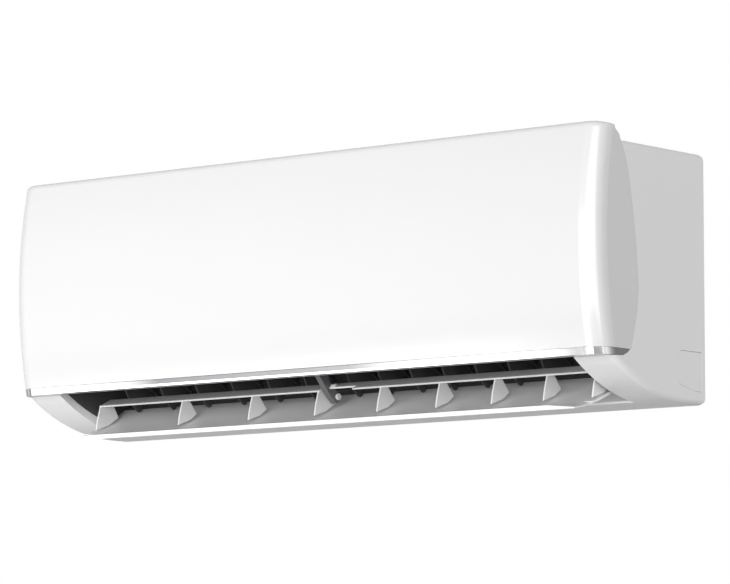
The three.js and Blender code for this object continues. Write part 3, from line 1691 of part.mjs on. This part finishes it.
addPart(onWall, 'wall_plate', wallPlate(), 'steel');
addPart(onWall, 'rear_casing', rearCasing(), 'whitePlastic');
addPart(onWall, 'front_casing', frontCasing(), 'whitePlastic');
addPart(onWall, 'intake_grille', intakeGrille(), 'whitePlastic');
addPart(onWall, 'pipe_cover_left', pipeCover(-1), 'whitePlastic');
addPart(onWall, 'pipe_cover_right', pipeCover(1), 'whitePlastic');
addPart(onWall, 'front_panel', frontPanel(), 'panelPlastic');
addPart(onWall, 'chrome_strip', chromeStrip(), 'chrome');
addPart(onWall, 'air_duct', airDuct(), 'darkPlastic');
addPart(onWall, 'drain_pan', drainPan(), 'darkPlastic');
addPart(onWall, 'drain_plug', drainPlug(), 'rubber');
addPart(onWall, 'evaporator_lower', coilBlock('lower'), 'fins');
addPart(onWall, 'evaporator_upper', coilBlock('upper'), 'fins');
addPart(onWall, 'evaporator_rear', coilBlock('rear'), 'fins');
addPart(onWall, 'coil_end_left', coilEnd(-1), 'copper');
addPart(onWall, 'coil_end_right', coilEnd(1), 'copper');
addPart(onWall, 'gas_pipe', pipe(gasPipeRadius, 0.5, pipeDropX, gasRunZ), 'copper');
addPart(onWall, 'liquid_pipe', pipe(liquidPipeRadius, 0.945, pipeDropX - pipePitch,
  gasRunZ + pipePitch), 'copper');
addPart(onWall, 'gas_flare_nut', flareNut(gasPipeRadius, gasRunZ), 'brass');
addPart(onWall, 'liquid_flare_nut', flareNut(liquidPipeRadius, gasRunZ + pipePitch), 'brass');
addPart(onWall, 'pipe_clamp', pipeClamp(), 'greyPlastic');
addPart(onWall, 'fan_motor', fanMotor(), 'steel');
addPart(onWall, 'motor_clamp', motorClamp(), 'whitePlastic');
addPart(onWall, 'bearing_seat', bearingSeat(), 'rubber');
addPart(onWall, 'fan_bearing', fanBearing(), 'steel');
addPart(onWall, 'control_box', controlBox(), 'whitePlastic');
addPart(onWall, 'control_box_cover', controlBoxCover(), 'steel');
addPart(onWall, 'circuit_board', circuitBoard(), 'board');
addPart(onWall, 'terminal_block', terminalBlock(), 'rubber');
addPart(onWall, 'display_board', displayBoard(), 'darkPlastic');
addPart(onWall, 'aux_button', auxButton(), 'whitePlastic');

const filterEdge = mullionX + fitGap;
addPart(onWall, 'air_filter_left', airFilter(windowLeft - filterLap, filterEdge - 2 * fitGap),
  'net');
addPart(onWall, 'air_filter_right', airFilter(filterEdge, windowRight + filterLap), 'net');

const fanAxis = new THREE.Group();
fanAxis.position.set(0, -fanDepth, fanZ);
onWall.add(fanAxis);
addPart(fanAxis, 'crossflow_fan', crossflowFan(), 'darkPlastic');
addPart(fanAxis, 'motor_shaft', motorShaft(), 'steel');

// the louver is drawn closed and stands open
const louverAxis = new THREE.Group();
louverAxis.position.set(0, -louverDepth, louverZ);
louverAxis.rotation.x = THREE.MathUtils.degToRad(louverOpen);
onWall.add(louverAxis);
const fromAxis = [0, louverDepth, -louverZ];
addPart(louverAxis, 'louver_flap', louverFlap().translate(fromAxis), 'whitePlastic');
addPart(louverAxis, 'louver_slat', louverSlat().translate(fromAxis), 'whitePlastic');
addPart(louverAxis, 'louver_shaft', louverShaft(), 'steel');
addPart(louverAxis, 'centre_pin', centrePin(), 'whitePlastic');
addPart(onWall, 'centre_hook', centreHook(), 'greyPlastic');

const louverMotor = addPart(onWall, 'louver_motor', stepper(stepperShaftRadius + fitGap),
  'steel');
louverMotor.position.set(halfOutlet + ductWall + fitGap + stepperLength / 2, -louverDepth,
  louverZ);
louverMotor.rotation.y = Math.PI;

const vaneRack = new THREE.Group();
vaneRack.position.set(0, -rackFoot[0], rackFoot[1]);
vaneRack.rotation.x = rackTurn;
onWall.add(vaneRack);
vaneXs().forEach((x, i) => {
  const name = `vane_${String(i + 1).padStart(2, '0')}`;
  addPart(vaneRack, name, vane(), 'darkPlastic').position.x = x;
});
addPart(vaneRack, 'vane_link_bar', vaneLinkBar(), 'darkPlastic');
addPart(vaneRack, 'vane_crank', vaneCrankPiece(), 'greyPlastic').position.x = crankX;
const vaneMotor = addPart(vaneRack, 'vane_motor', stepper(stepperShaftRadius + fitGap), 'steel');
vaneMotor.position.set(crankX, 0, -ductWall - casingWall - 3 * fitGap - stepperLength / 2);
vaneMotor.rotation.y = -Math.PI / 2;

export default unit;
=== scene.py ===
import json
import math

import bmesh
import bpy
from mathutils import Matrix, Vector


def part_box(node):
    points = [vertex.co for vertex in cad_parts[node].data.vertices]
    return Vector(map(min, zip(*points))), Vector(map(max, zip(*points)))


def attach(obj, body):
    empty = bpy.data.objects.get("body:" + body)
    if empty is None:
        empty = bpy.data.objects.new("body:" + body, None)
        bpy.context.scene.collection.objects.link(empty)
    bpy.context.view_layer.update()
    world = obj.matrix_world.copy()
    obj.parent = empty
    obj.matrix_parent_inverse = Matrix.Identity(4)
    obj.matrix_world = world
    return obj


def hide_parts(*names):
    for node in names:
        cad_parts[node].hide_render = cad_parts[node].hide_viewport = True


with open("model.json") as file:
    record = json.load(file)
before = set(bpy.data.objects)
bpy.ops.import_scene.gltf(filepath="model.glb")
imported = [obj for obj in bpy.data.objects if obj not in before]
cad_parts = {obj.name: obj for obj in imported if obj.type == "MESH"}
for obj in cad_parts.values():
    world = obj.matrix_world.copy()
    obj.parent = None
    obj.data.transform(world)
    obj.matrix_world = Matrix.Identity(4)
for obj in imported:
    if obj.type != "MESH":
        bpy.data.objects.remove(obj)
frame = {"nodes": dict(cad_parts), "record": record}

nodes = frame["nodes"]
bodies = frame["record"]["behaviour"]["bodies"]
bodyOf = {name: body for body, members in bodies.items() for name in members}
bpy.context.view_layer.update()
mm = 0.001


def deselectAll():
    if bpy.context.object and bpy.context.object.mode != "OBJECT":
        bpy.ops.object.mode_set(mode="OBJECT")
    bpy.ops.object.select_all(action="DESELECT")


def makeActive(piece):
    deselectAll()
    piece.select_set(True)
    bpy.context.view_layer.objects.active = piece


def settle(piece):
    # the place goes into the mesh, and the object sits at the origin
    makeActive(piece)
    bpy.ops.object.transform_apply(location=True, rotation=True, scale=True)


def applyModifiers(piece):
    makeActive(piece)
    for modifier in list(piece.modifiers):
        bpy.ops.object.modifier_apply(modifier=modifier.name)


def camelName(name):
    words = name.split("_")
    return words[0] + "".join(word.capitalize() for word in words[1:])


# effects shared by the materials

effects = dict(fineDetail=3, slowDetail=4, slowRoughness=0.55, lineDetail=5, softScale=14,
               halfThread=0.5, threadLow=0.28, threadHigh=0.34)
common = dict(ior=1.46, coatRoughness=0.1, maskLow=0.3, maskHigh=0.7)


def newGroup(name, inputs, outputs):
    group = bpy.data.node_groups.new(name, "ShaderNodeTree")
    for label, kind, value in inputs:
        socket = group.interface.new_socket(label, in_out="INPUT", socket_type=kind)
        if value is not None:
            socket.default_value = value
    for label, kind in outputs:
        group.interface.new_socket(label, in_out="OUTPUT", socket_type=kind)
    return group, group.nodes.new("NodeGroupInput"), group.nodes.new("NodeGroupOutput")


def makeGrain():
    # a fine moulded grain and a slow mottle under it
    group, source, result = newGroup(
        "mouldGrain",
        [("Vector", "NodeSocketVector", None), ("Grain", "NodeSocketFloat", 900),
         ("Mottle", "NodeSocketFloat", 9)],
        [("Height", "NodeSocketFloat"), ("Mottle", "NodeSocketFloat")],
    )
    fine = group.nodes.new("ShaderNodeTexNoise")
    fine.inputs["Detail"].default_value = effects["fineDetail"]
    slow = group.nodes.new("ShaderNodeTexNoise")
    slow.inputs["Detail"].default_value = effects["slowDetail"]
    slow.inputs["Roughness"].default_value = effects["slowRoughness"]
    link = group.links.new
    link(source.outputs["Vector"], fine.inputs["Vector"])
    link(source.outputs["Vector"], slow.inputs["Vector"])
    link(source.outputs["Grain"], fine.inputs["Scale"])
    link(source.outputs["Mottle"], slow.inputs["Scale"])
    link(fine.outputs["Fac"], result.inputs["Height"])
    link(slow.outputs["Fac"], result.inputs["Mottle"])
    return group


def makeDraw():
    # lines left along X by drawing or rolling
    group, source, result = newGroup(
        "drawLines",
        [("Vector", "NodeSocketVector", None), ("Lines", "NodeSocketFloat", 700),
         ("Stretch", "NodeSocketFloat", 0.02)],
        [("Height", "NodeSocketFloat"), ("Mask", "NodeSocketFloat")],
    )
    stretch = group.nodes.new("ShaderNodeCombineXYZ")
    stretch.inputs["Y"].default_value = 1
    stretch.inputs["Z"].default_value = 1
    scaled = group.nodes.new("ShaderNodeVectorMath")
    scaled.operation = "MULTIPLY"
    lines = group.nodes.new("ShaderNodeTexNoise")
    lines.inputs["Detail"].default_value = effects["lineDetail"]
    soft = group.nodes.new("ShaderNodeTexNoise")
    soft.inputs["Scale"].default_value = effects["softScale"]
    link = group.links.new
    link(source.outputs["Stretch"], stretch.inputs["X"])
    link(source.outputs["Vector"], scaled.inputs[0])
    link(stretch.outputs["Vector"], scaled.inputs[1])
    link(scaled.outputs["Vector"], lines.inputs["Vector"])
    link(source.outputs["Lines"], lines.inputs["Scale"])
    link(source.outputs["Vector"], soft.inputs["Vector"])
    link(lines.outputs["Fac"], result.inputs["Height"])
    link(soft.outputs["Fac"], result.inputs["Mask"])
    return group


def makeWeave():
    # threads that cross, with a hole in each mesh of the net
    group, source, result = newGroup(
        "netWeave",
        [("Vector", "NodeSocketVector", None), ("Threads", "NodeSocketFloat", 900)],
        [("Solid", "NodeSocketFloat"), ("Height", "NodeSocketFloat")],
    )
    parts = group.nodes.new("ShaderNodeSeparateXYZ")
    group.links.new(source.outputs["Vector"], parts.inputs["Vector"])
    threads = []
    for axis in ("X", "Z"):
        count = group.nodes.new("ShaderNodeMath")
        count.operation = "MULTIPLY"
        group.links.new(parts.outputs[axis], count.inputs[0])
        group.links.new(source.outputs["Threads"], count.inputs[1])
        wave = group.nodes.new("ShaderNodeMath")
        wave.operation = "PINGPONG"
        wave.inputs[1].default_value = effects["halfThread"]
        group.links.new(count.outputs["Value"], wave.inputs[0])
        threads.append(wave)
    top = group.nodes.new("ShaderNodeMath")
    top.operation = "MAXIMUM"
    group.links.new(threads[0].outputs["Value"], top.inputs[0])
    group.links.new(threads[1].outputs["Value"], top.inputs[1])
    edge = group.nodes.new("ShaderNodeMapRange")
    edge.inputs["From Min"].default_value = effects["threadLow"]
    edge.inputs["From Max"].default_value = effects["threadHigh"]
    group.links.new(top.outputs["Value"], edge.inputs["Value"])
    group.links.new(edge.outputs["Result"], result.inputs["Solid"])
    group.links.new(top.outputs["Value"], result.inputs["Height"])
    return group


grainGroup = makeGrain()
drawGroup = makeDraw()
weaveGroup = makeWeave()


def place(tree, group, values):
    node = tree.nodes.new("ShaderNodeGroup")
    node.node_tree = group
    spot = tree.nodes.new("ShaderNodeTexCoord")
    tree.links.new(spot.outputs["Object"], node.inputs["Vector"])
    for label, value in values.items():
        node.inputs[label].default_value = value
    return node


def startMaterial(name, settings):
    material = bpy.data.materials.new(name)
    material.use_nodes = True
    tree = material.node_tree
    shader = tree.nodes["Principled BSDF"]
    shader.inputs["Metallic"].default_value = settings.get("metallic", 0)
    shader.inputs["IOR"].default_value = common["ior"]
    shader.inputs["Coat Weight"].default_value = settings.get("coat", 0)
    shader.inputs["Coat Roughness"].default_value = common["coatRoughness"]
    return material, tree, shader


def tint(tree, shader, mask, settings):
    # two near shades, and a roughness that follows the same mask
    blend = tree.nodes.new("ShaderNodeMix")
    blend.data_type = "RGBA"
    blend.inputs["A"].default_value = (*settings["colour"], 1)
    blend.inputs["B"].default_value = (*settings["shade"], 1)
    tree.links.new(mask, blend.inputs["Factor"])
    tree.links.new(blend.outputs["Result"], shader.inputs["Base Color"])
    rough = tree.nodes.new("ShaderNodeMapRange")
    rough.inputs["From Min"].default_value = common["maskLow"]
    rough.inputs["From Max"].default_value = common["maskHigh"]
    rough.inputs["To Min"].default_value = settings["rough"][0]
    rough.inputs["To Max"].default_value = settings["rough"][1]
    tree.links.new(mask, rough.inputs["Value"])
    tree.links.new(rough.outputs["Result"], shader.inputs["Roughness"])


def bump(tree, shader, height, settings):
    node = tree.nodes.new("ShaderNodeBump")
    node.inputs["Strength"].default_value = settings["bump"]
    node.inputs["Distance"].default_value = settings["bumpDepth"] * mm
    tree.links.new(height, node.inputs["Height"])
    tree.links.new(node.outputs["Normal"], shader.inputs["Normal"])


def plastic(name, settings):
    material, tree, shader = startMaterial(name, settings)
    grain = place(tree, grainGroup, {"Grain": settings["grain"], "Mottle": settings["mottle"]})
    tint(tree, shader, grain.outputs["Mottle"], settings)
    bump(tree, shader, grain.outputs["Height"], settings)
    return material


def metal(name, settings):
    material, tree, shader = startMaterial(name, settings)
    lines = place(tree, drawGroup, {"Lines": settings["lines"], "Stretch": settings["stretch"]})
    tint(tree, shader, lines.outputs["Mask"], settings)
    bump(tree, shader, lines.outputs["Height"], settings)
    return material


plastics = {
    "casingWhite": dict(colour=(0.82, 0.82, 0.82), shade=(0.80, 0.80, 0.80), rough=(0.34, 0.44),
                        grain=1500, mottle=7, bump=0.10, bumpDepth=0.05),
    "panelWhite": dict(colour=(0.67, 0.67, 0.672), shade=(0.655, 0.655, 0.657), rough=(0.16, 0.24),
                       grain=900, mottle=5, bump=0.03, bumpDepth=0.03, coat=0.35),
    "louverWhite": dict(colour=(0.78, 0.78, 0.78), shade=(0.76, 0.76, 0.76), rough=(0.32, 0.40),
                        grain=1500, mottle=8, bump=0.08, bumpDepth=0.04),
    "innerBlack": dict(colour=(0.060, 0.060, 0.062), shade=(0.080, 0.080, 0.082),
                       rough=(0.42, 0.58), grain=1100, mottle=12, bump=0.25, bumpDepth=0.08),
    "hookGrey": dict(colour=(0.13, 0.13, 0.135), shade=(0.17, 0.17, 0.175), rough=(0.4, 0.5),
                     grain=1300, mottle=14, bump=0.2, bumpDepth=0.06),
    "softRubber": dict(colour=(0.018, 0.018, 0.018), shade=(0.03, 0.03, 0.03), rough=(0.7, 0.85),
                       grain=1600, mottle=20, bump=0.3, bumpDepth=0.08),
    "boardGreen": dict(colour=(0.02, 0.11, 0.045), shade=(0.03, 0.15, 0.06), rough=(0.35, 0.5),
                       grain=700, mottle=40, bump=0.2, bumpDepth=0.05),
    "filterFrame": dict(colour=(0.40, 0.43, 0.45), shade=(0.36, 0.39, 0.41), rough=(0.45, 0.55),
                        grain=1300, mottle=15, bump=0.15, bumpDepth=0.05),
}
metals = {
    "galvanised": dict(colour=(0.56, 0.57, 0.58), shade=(0.44, 0.45, 0.47), rough=(0.30, 0.45),
                       lines=240, stretch=0.12, bump=0.08, bumpDepth=0.03, metallic=1),
    "motorSteel": dict(colour=(0.52, 0.52, 0.53), shade=(0.43, 0.43, 0.44), rough=(0.28, 0.4),
                       lines=500, stretch=0.03, bump=0.08, bumpDepth=0.02, metallic=1),
    "copperTube": dict(colour=(0.72, 0.36, 0.22), shade=(0.52, 0.23, 0.13), rough=(0.24, 0.42),
                       lines=420, stretch=0.05, bump=0.06, bumpDepth=0.02, metallic=1),
    "brassNut": dict(colour=(0.72, 0.55, 0.27), shade=(0.60, 0.43, 0.18), rough=(0.22, 0.34),
                     lines=420, stretch=0.06, bump=0.06, bumpDepth=0.02, metallic=1),
    "finAluminium": dict(colour=(0.50, 0.60, 0.68), shade=(0.58, 0.66, 0.72), rough=(0.32, 0.46),
                         lines=300, stretch=0.5, bump=0.1, bumpDepth=0.03, metallic=0.85),
}
finish = {name: plastic(name, settings) for name, settings in plastics.items()}
finish.update({name: metal(name, settings) for name, settings in metals.items()})


def netMaterial():
    # the filters' woven net, open between its threads
    settings = dict(colour=(0.30, 0.33, 0.35), shade=(0.24, 0.27, 0.29), rough=(0.5, 0.7),
                    threads=620, bump=0.6, bumpDepth=0.2)
    material, tree, shader = startMaterial("filterNet", settings)
    weave = place(tree, weaveGroup, {"Threads": settings["threads"]})
    tint(tree, shader, weave.outputs["Height"], settings)
    bump(tree, shader, weave.outputs["Height"], settings)
    tree.links.new(weave.outputs["Solid"], shader.inputs["Alpha"])
    return material


def along(tree, axis, stops):
    # a value set by stops along one axis of the object, each stop a place and a value
    spot = tree.nodes.new("ShaderNodeTexCoord")
    parts = tree.nodes.new("ShaderNodeSeparateXYZ")
    tree.links.new(spot.outputs["Object"], parts.inputs["Vector"])
    first, last = stops[0][0], stops[-1][0]
    span = tree.nodes.new("ShaderNodeMapRange")
    span.inputs["From Min"].default_value = first
    span.inputs["From Max"].default_value = last
    tree.links.new(parts.outputs[axis], span.inputs["Value"])
    ramp = tree.nodes.new("ShaderNodeValToRGB")
    points = ramp.color_ramp.elements
    while len(points) < len(stops):
        points.new(0.5)
    for point, (at, value) in zip(points, stops):
        point.position = (at - first) / (last - first)
        point.color = (value, value, value, 1)
    tree.links.new(span.outputs["Result"], ramp.inputs["Fac"])
    return ramp.outputs["Color"]


def combine(tree, operation, first, second):
    node = tree.nodes.new("ShaderNodeMath")
    node.operation = operation
    tree.links.new(first, node.inputs[0])
    tree.links.new(second, node.inputs[1])
    return node.outputs["Value"]


def mixColour(tree, mask, first, second):
    # first and second are colours or sockets
    node = tree.nodes.new("ShaderNodeMix")
    node.data_type = "RGBA"
    for label, value in (("A", first), ("B", second)):
        if isinstance(value, tuple):
            node.inputs[label].default_value = (*value, 1)
        else:
            tree.links.new(value, node.inputs[label])
    tree.links.new(mask, node.inputs["Factor"])
    return node.outputs["Result"]


def overlay(material, mask, colour):
    tree = material.node_tree
    base = tree.nodes["Principled BSDF"].inputs["Base Color"]
    under = base.links[0].from_socket
    tree.links.new(mixColour(tree, mask, under, colour), base)
    return material


def stripMaterial():
    # bright plating with a painted dark reflection: a dark band on the upper face over the bright
    # lower lip, fading towards both ends, and dark again on both rounded ends
    strip = dict(metallic=1, colour=(0.90, 0.90, 0.91), shade=(0.84, 0.84, 0.85),
                 rough=(0.09, 0.15), lines=300, stretch=0.01, bump=0.02, bumpDepth=0.01,
                 smoked=(0.135, 0.135, 0.14),
                 lip=((-0.1064, 0), (-0.1055, 0), (-0.1048, 1), (-0.0990, 1)),
                 face=((-0.418, 0), (-0.372, 0), (-0.30, 0.55), (-0.20, 1), (0.08, 0.95),
                       (0.20, 0.55), (0.31, 0.08), (0.418, 0)),
                 ends=((-0.418, 1), (-0.406, 0.9), (-0.399, 0), (0.4155, 0), (0.4176, 0.85),
                       (0.418, 1)))
    material = metal("brightPlating", strip)
    tree = material.node_tree
    # painted dark reflection: the upper-face band times its run along X, joined with the dark
    # rounded ends
    band = combine(tree, "MULTIPLY",
                   along(tree, "Z", strip["lip"]), along(tree, "X", strip["face"]))
    paintedReflectionMask = combine(tree, "MAXIMUM", band, along(tree, "X", strip["ends"]))
    return overlay(material, paintedReflectionMask, strip["smoked"])


def ductMaterial():
    # black moulding, with a pale lower lip and a paler cheek at its right end
    duct = dict(plastics["innerBlack"], pale=(0.62, 0.62, 0.62),
                cheek=((0.300, 0), (0.314, 0), (0.318, 0.55), (0.368, 0.55)),
                lip=((-0.150, 1), (-0.132, 1), (-0.128, 0), (-0.10, 0)))
    material = plastic("ductShell", duct)
    tree = material.node_tree
    pale = combine(tree, "MAXIMUM",
                   along(tree, "X", duct["cheek"]), along(tree, "Z", duct["lip"]))
    return overlay(material, pale, duct["pale"])


finish["filterNet"] = netMaterial()
finish["brightPlating"] = stripMaterial()
finish["ductShell"] = ductMaterial()
print("materials made:", len(finish))


# which finish each piece has

finishOf = {
    "wall_plate": "galvanised", "front_panel": "panelWhite", "chrome_strip": "brightPlating",
    "air_duct": "ductShell", "drain_pan": "ductShell", "crossflow_fan": "innerBlack",
    "vane_link_bar": "innerBlack", "vane_crank": "hookGrey", "centre_hook": "hookGrey",
    "pipe_clamp": "hookGrey", "drain_plug": "softRubber", "bearing_seat": "softRubber",
    "terminal_block": "softRubber", "display_board": "innerBlack", "circuit_board": "boardGreen",
    "coil_end_left": "copperTube",
    "coil_end_right": "copperTube", "gas_pipe": "copperTube", "liquid_pipe": "copperTube",
    "gas_flare_nut": "brassNut", "liquid_flare_nut": "brassNut", "fan_motor": "motorSteel",
    "fan_bearing": "motorSteel", "motor_shaft": "motorSteel", "louver_shaft": "motorSteel",
    "louver_motor": "motorSteel", "vane_motor": "motorSteel", "control_box_cover": "galvanised",
    "air_filter_left": "filterFrame", "air_filter_right": "filterFrame",
    "louver_flap": "louverWhite", "louver_slat": "louverWhite", "centre_pin": "louverWhite",
}


def finishFor(name):
    if name.startswith("vane_") and name[5:].isdigit():
        return "innerBlack"
    return finishOf.get(name, "casingWhite")


# rigid pieces: the frame's own shapes, with merged skins and softened edges

edges = {
    "plain": dict(width=0.35, segments=2),
    "front_panel": dict(width=0.5, segments=3),
    "front_casing": dict(width=0.45, segments=2),
    "louver_flap": dict(width=0.5, segments=3),
    "louver_slat": dict(width=0.35, segments=2),
    "chrome_strip": dict(width=0.25, segments=2),
    "fan_motor": dict(width=1.0, segments=3),
}
modelled = ("evaporator_lower", "evaporator_upper", "evaporator_rear")
smoothAngle = math.radians(32)
flatAngle = math.radians(0.4)
mergeGap = 0.002 * mm


def fineCopy(name):
    source = nodes[name]
    piece = bpy.data.objects.new(camelName(name), source.data.copy())
    bpy.context.scene.collection.objects.link(piece)
    makeActive(piece)
    bpy.ops.object.mode_set(mode="EDIT")
    bpy.ops.mesh.select_all(action="SELECT")
    bpy.ops.mesh.remove_doubles(threshold=mergeGap)
    bpy.ops.mesh.dissolve_limited(angle_limit=flatAngle)
    bpy.ops.object.mode_set(mode="OBJECT")
    size = edges.get(name, edges["plain"])
    soften = piece.modifiers.new("soften", "BEVEL")
    soften.width = size["width"] * mm
    soften.segments = size["segments"]
    soften.limit_method = "ANGLE"
    soften.angle_limit = smoothAngle
    soften.use_clamp_overlap = True
    soften.miter_outer = "MITER_ARC"
    bpy.ops.object.shade_smooth_by_angle(angle=smoothAngle)
    even = piece.modifiers.new("even", "WEIGHTED_NORMAL")
    even.keep_sharp = True
    applyModifiers(piece)
    piece.data.materials.clear()
    piece.data.materials.append(finish[finishFor(name)])
    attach(piece, bodyOf[name])
    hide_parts(name)
    return piece


pieces = {name: fineCopy(name) for name in nodes if name not in modelled}
print("rigid pieces finished:", len(pieces))


# air filters: the net's faces get their own finish

filters = dict(names=("air_filter_left", "air_filter_right"), border=9 * mm, ribs=4,
               margin=0.3 * mm, sideways=0.5, smallest=1e-4)


def dressFilter(name):
    piece = pieces[name]
    low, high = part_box(name)
    pitch = (high.x - low.x - filters["border"]) / filters["ribs"]
    piece.data.materials.append(finish["filterNet"])
    for face in piece.data.polygons:
        spot = face.center
        across = (spot.x - low.x) % pitch
        inside = filters["border"] + filters["margin"] < across < pitch - filters["margin"]
        level = low.z + filters["border"] < spot.z < high.z - filters["border"]
        broad = abs(face.normal.x) < filters["sideways"] and face.area > filters["smallest"]
        if inside and level and broad:
            face.material_index = 1


for filterName in filters["names"]:
    dressFilter(filterName)


# evaporator: a stack of thin corrugated fins for each block

fins = dict(pitch=1.7 * mm, thickness=0.16 * mm, waves=6, wave=0.35 * mm, digits=5)


def blockFrame(name):
    # centre, run direction, length and thickness of a tilted block, from its corners
    digits = fins["digits"]
    corners = {(round(vert.co.y, digits), round(vert.co.z, digits))
               for vert in nodes[name].data.vertices}
    points = [Vector((0, y, z)) for y, z in corners]
    centre = sum(points, Vector()) / len(points)
    points.sort(key=lambda point: math.atan2(point.z - centre.z, point.y - centre.y))
    sides = [points[1] - points[0], points[2] - points[1]]
    sides.sort(key=lambda side: side.length)
    return centre, sides[1].normalized(), sides[1].length, sides[0].length


def finStack(name):
    centre, run, length, thickness = blockFrame(name)
    low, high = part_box(name)
    deselectAll()
    bpy.ops.mesh.primitive_plane_add(size=1)
    piece = bpy.context.object
    piece.name = camelName(name) + "Fins"
    bpy.ops.object.mode_set(mode="EDIT")
    bpy.ops.transform.resize(value=(length, thickness, 1))
    bpy.ops.object.mode_set(mode="OBJECT")
    shape = bmesh.new()
    shape.from_mesh(piece.data)
    rungs = [edge for edge in shape.edges
             if abs(edge.verts[0].co.y - edge.verts[1].co.y) < thickness / 2]
    bmesh.ops.subdivide_edges(shape, edges=rungs, cuts=fins["waves"] * 2 - 1)
    step = length / (fins["waves"] * 2)
    for vert in shape.verts:
        count = round((vert.co.x + length / 2) / step)
        vert.co.z = fins["wave"] if count % 2 else -fins["wave"]
    shape.to_mesh(piece.data)
    shape.free()
    turn = Matrix((Vector((0, run.y, run.z)), Vector((0, -run.z, run.y)), Vector((1, 0, 0))))
    piece.matrix_world = Matrix.Translation(
        Vector((low.x + fins["pitch"], centre.y, centre.z))) @ turn.transposed().to_4x4()
    settle(piece)
    wall = piece.modifiers.new("wall", "SOLIDIFY")
    wall.thickness = fins["thickness"]
    stack = piece.modifiers.new("stack", "ARRAY")
    stack.use_relative_offset = False
    stack.use_constant_offset = True
    stack.constant_offset_displace = (fins["pitch"], 0, 0)
    stack.count = int((high.x - low.x - 2 * fins["pitch"]) / fins["pitch"]) + 1
    applyModifiers(piece)
    piece.data.materials.append(finish["finAluminium"])
    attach(piece, bodyOf[name])
    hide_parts(name)
    return piece


for blockName in modelled:
    finStack(blockName)
print("fin stacks made:", len(modelled))


# floor, light and camera

studio = dict(floorZ=-1.3, floorSize=16, floorColour=(0.86, 0.86, 0.86), ambient=0.17,
              sunTurn=39, sunSpread=60, sunPower=3.4,
              frontPlace=(0, -2.2, -0.3), frontSize=1.6, frontPower=22,
              lowPlace=(-1.3, -1.5, -0.95), lowSize=1.0, lowPower=11)
photoCamera = dict(place=(2.99583, -3.73456, -0.52592), target=(0.02234, -0.09, -0.00829),
                   lens=209.8, sensor=36, clipEnd=50)


def makeFloor():
    deselectAll()
    bpy.ops.mesh.primitive_plane_add(size=studio["floorSize"], location=(0, 0, studio["floorZ"]))
    floor = bpy.context.object
    floor.name = "studioFloor"
    settings = dict(colour=studio["floorColour"], shade=(0.84, 0.84, 0.84), rough=(0.7, 0.8),
                    grain=60, mottle=2, bump=0.05, bumpDepth=1)
    floor.data.materials.append(plastic("paleFloor", settings))


def makeWorld():
    world = bpy.data.worlds.new("studio")
    world.use_nodes = True
    bpy.context.scene.world = world
    tree = world.node_tree
    ambient = tree.nodes["Background"]
    ambient.inputs["Color"].default_value = (1, 1, 1, 1)
    ambient.inputs["Strength"].default_value = studio["ambient"]
    white = tree.nodes.new("ShaderNodeBackground")
    white.inputs["Color"].default_value = (1, 1, 1, 1)
    white.inputs["Strength"].default_value = 1
    rays = tree.nodes.new("ShaderNodeLightPath")
    seen = rays.outputs["Is Camera Ray"]
    for kind in ("Is Glossy Ray", "Is Transmission Ray"):
        either = tree.nodes.new("ShaderNodeMath")
        either.operation = "MAXIMUM"
        tree.links.new(seen, either.inputs[0])
        tree.links.new(rays.outputs[kind], either.inputs[1])
        seen = either.outputs["Value"]
    blend = tree.nodes.new("ShaderNodeMixShader")
    tree.links.new(seen, blend.inputs["Fac"])
    tree.links.new(ambient.outputs["Background"], blend.inputs[1])
    tree.links.new(white.outputs["Background"], blend.inputs[2])
    tree.links.new(blend.outputs["Shader"], tree.nodes["World Output"].inputs["Surface"])


def makeLamp(name, spot, size, power):
    data = bpy.data.lights.new(name, "AREA")
    data.shape = "SQUARE"
    data.size = size
    data.energy = power
    lamp = bpy.data.objects.new(name, data)
    lamp.location = spot
    lamp.rotation_euler = (-Vector(spot)).to_track_quat("-Z", "Y").to_euler()
    bpy.context.scene.collection.objects.link(lamp)


def makeSun():
    # wide level light from the front right, the way the side and the cheek are lit
    data = bpy.data.lights.new("sideLight", "SUN")
    data.energy = studio["sunPower"]
    data.angle = math.radians(studio["sunSpread"])
    lamp = bpy.data.objects.new("sideLight", data)
    turn = math.radians(studio["sunTurn"])
    aim = Vector((-math.sin(turn), math.cos(turn), 0))
    lamp.rotation_euler = aim.to_track_quat("-Z", "Y").to_euler()
    bpy.context.scene.collection.objects.link(lamp)


def makeCamera():
    data = bpy.data.cameras.new("photoCamera")
    data.lens = photoCamera["lens"]
    data.sensor_width = photoCamera["sensor"]
    data.clip_end = photoCamera["clipEnd"]
    camera = bpy.data.objects.new("photoCamera", data)
    aim = Vector(photoCamera["target"]) - Vector(photoCamera["place"])
    camera.location = photoCamera["place"]
    camera.rotation_euler = aim.to_track_quat("-Z", "Y").to_euler()
    bpy.context.scene.collection.objects.link(camera)
    bpy.context.scene.camera = camera


makeFloor()
makeWorld()
makeSun()
makeLamp("frontLamp", studio["frontPlace"], studio["frontSize"], studio["frontPower"])
makeLamp("lowLamp", studio["lowPlace"], studio["lowSize"], studio["lowPower"])
makeCamera()
bpy.context.scene.view_settings.view_transform = "Standard"
print("studio ready")
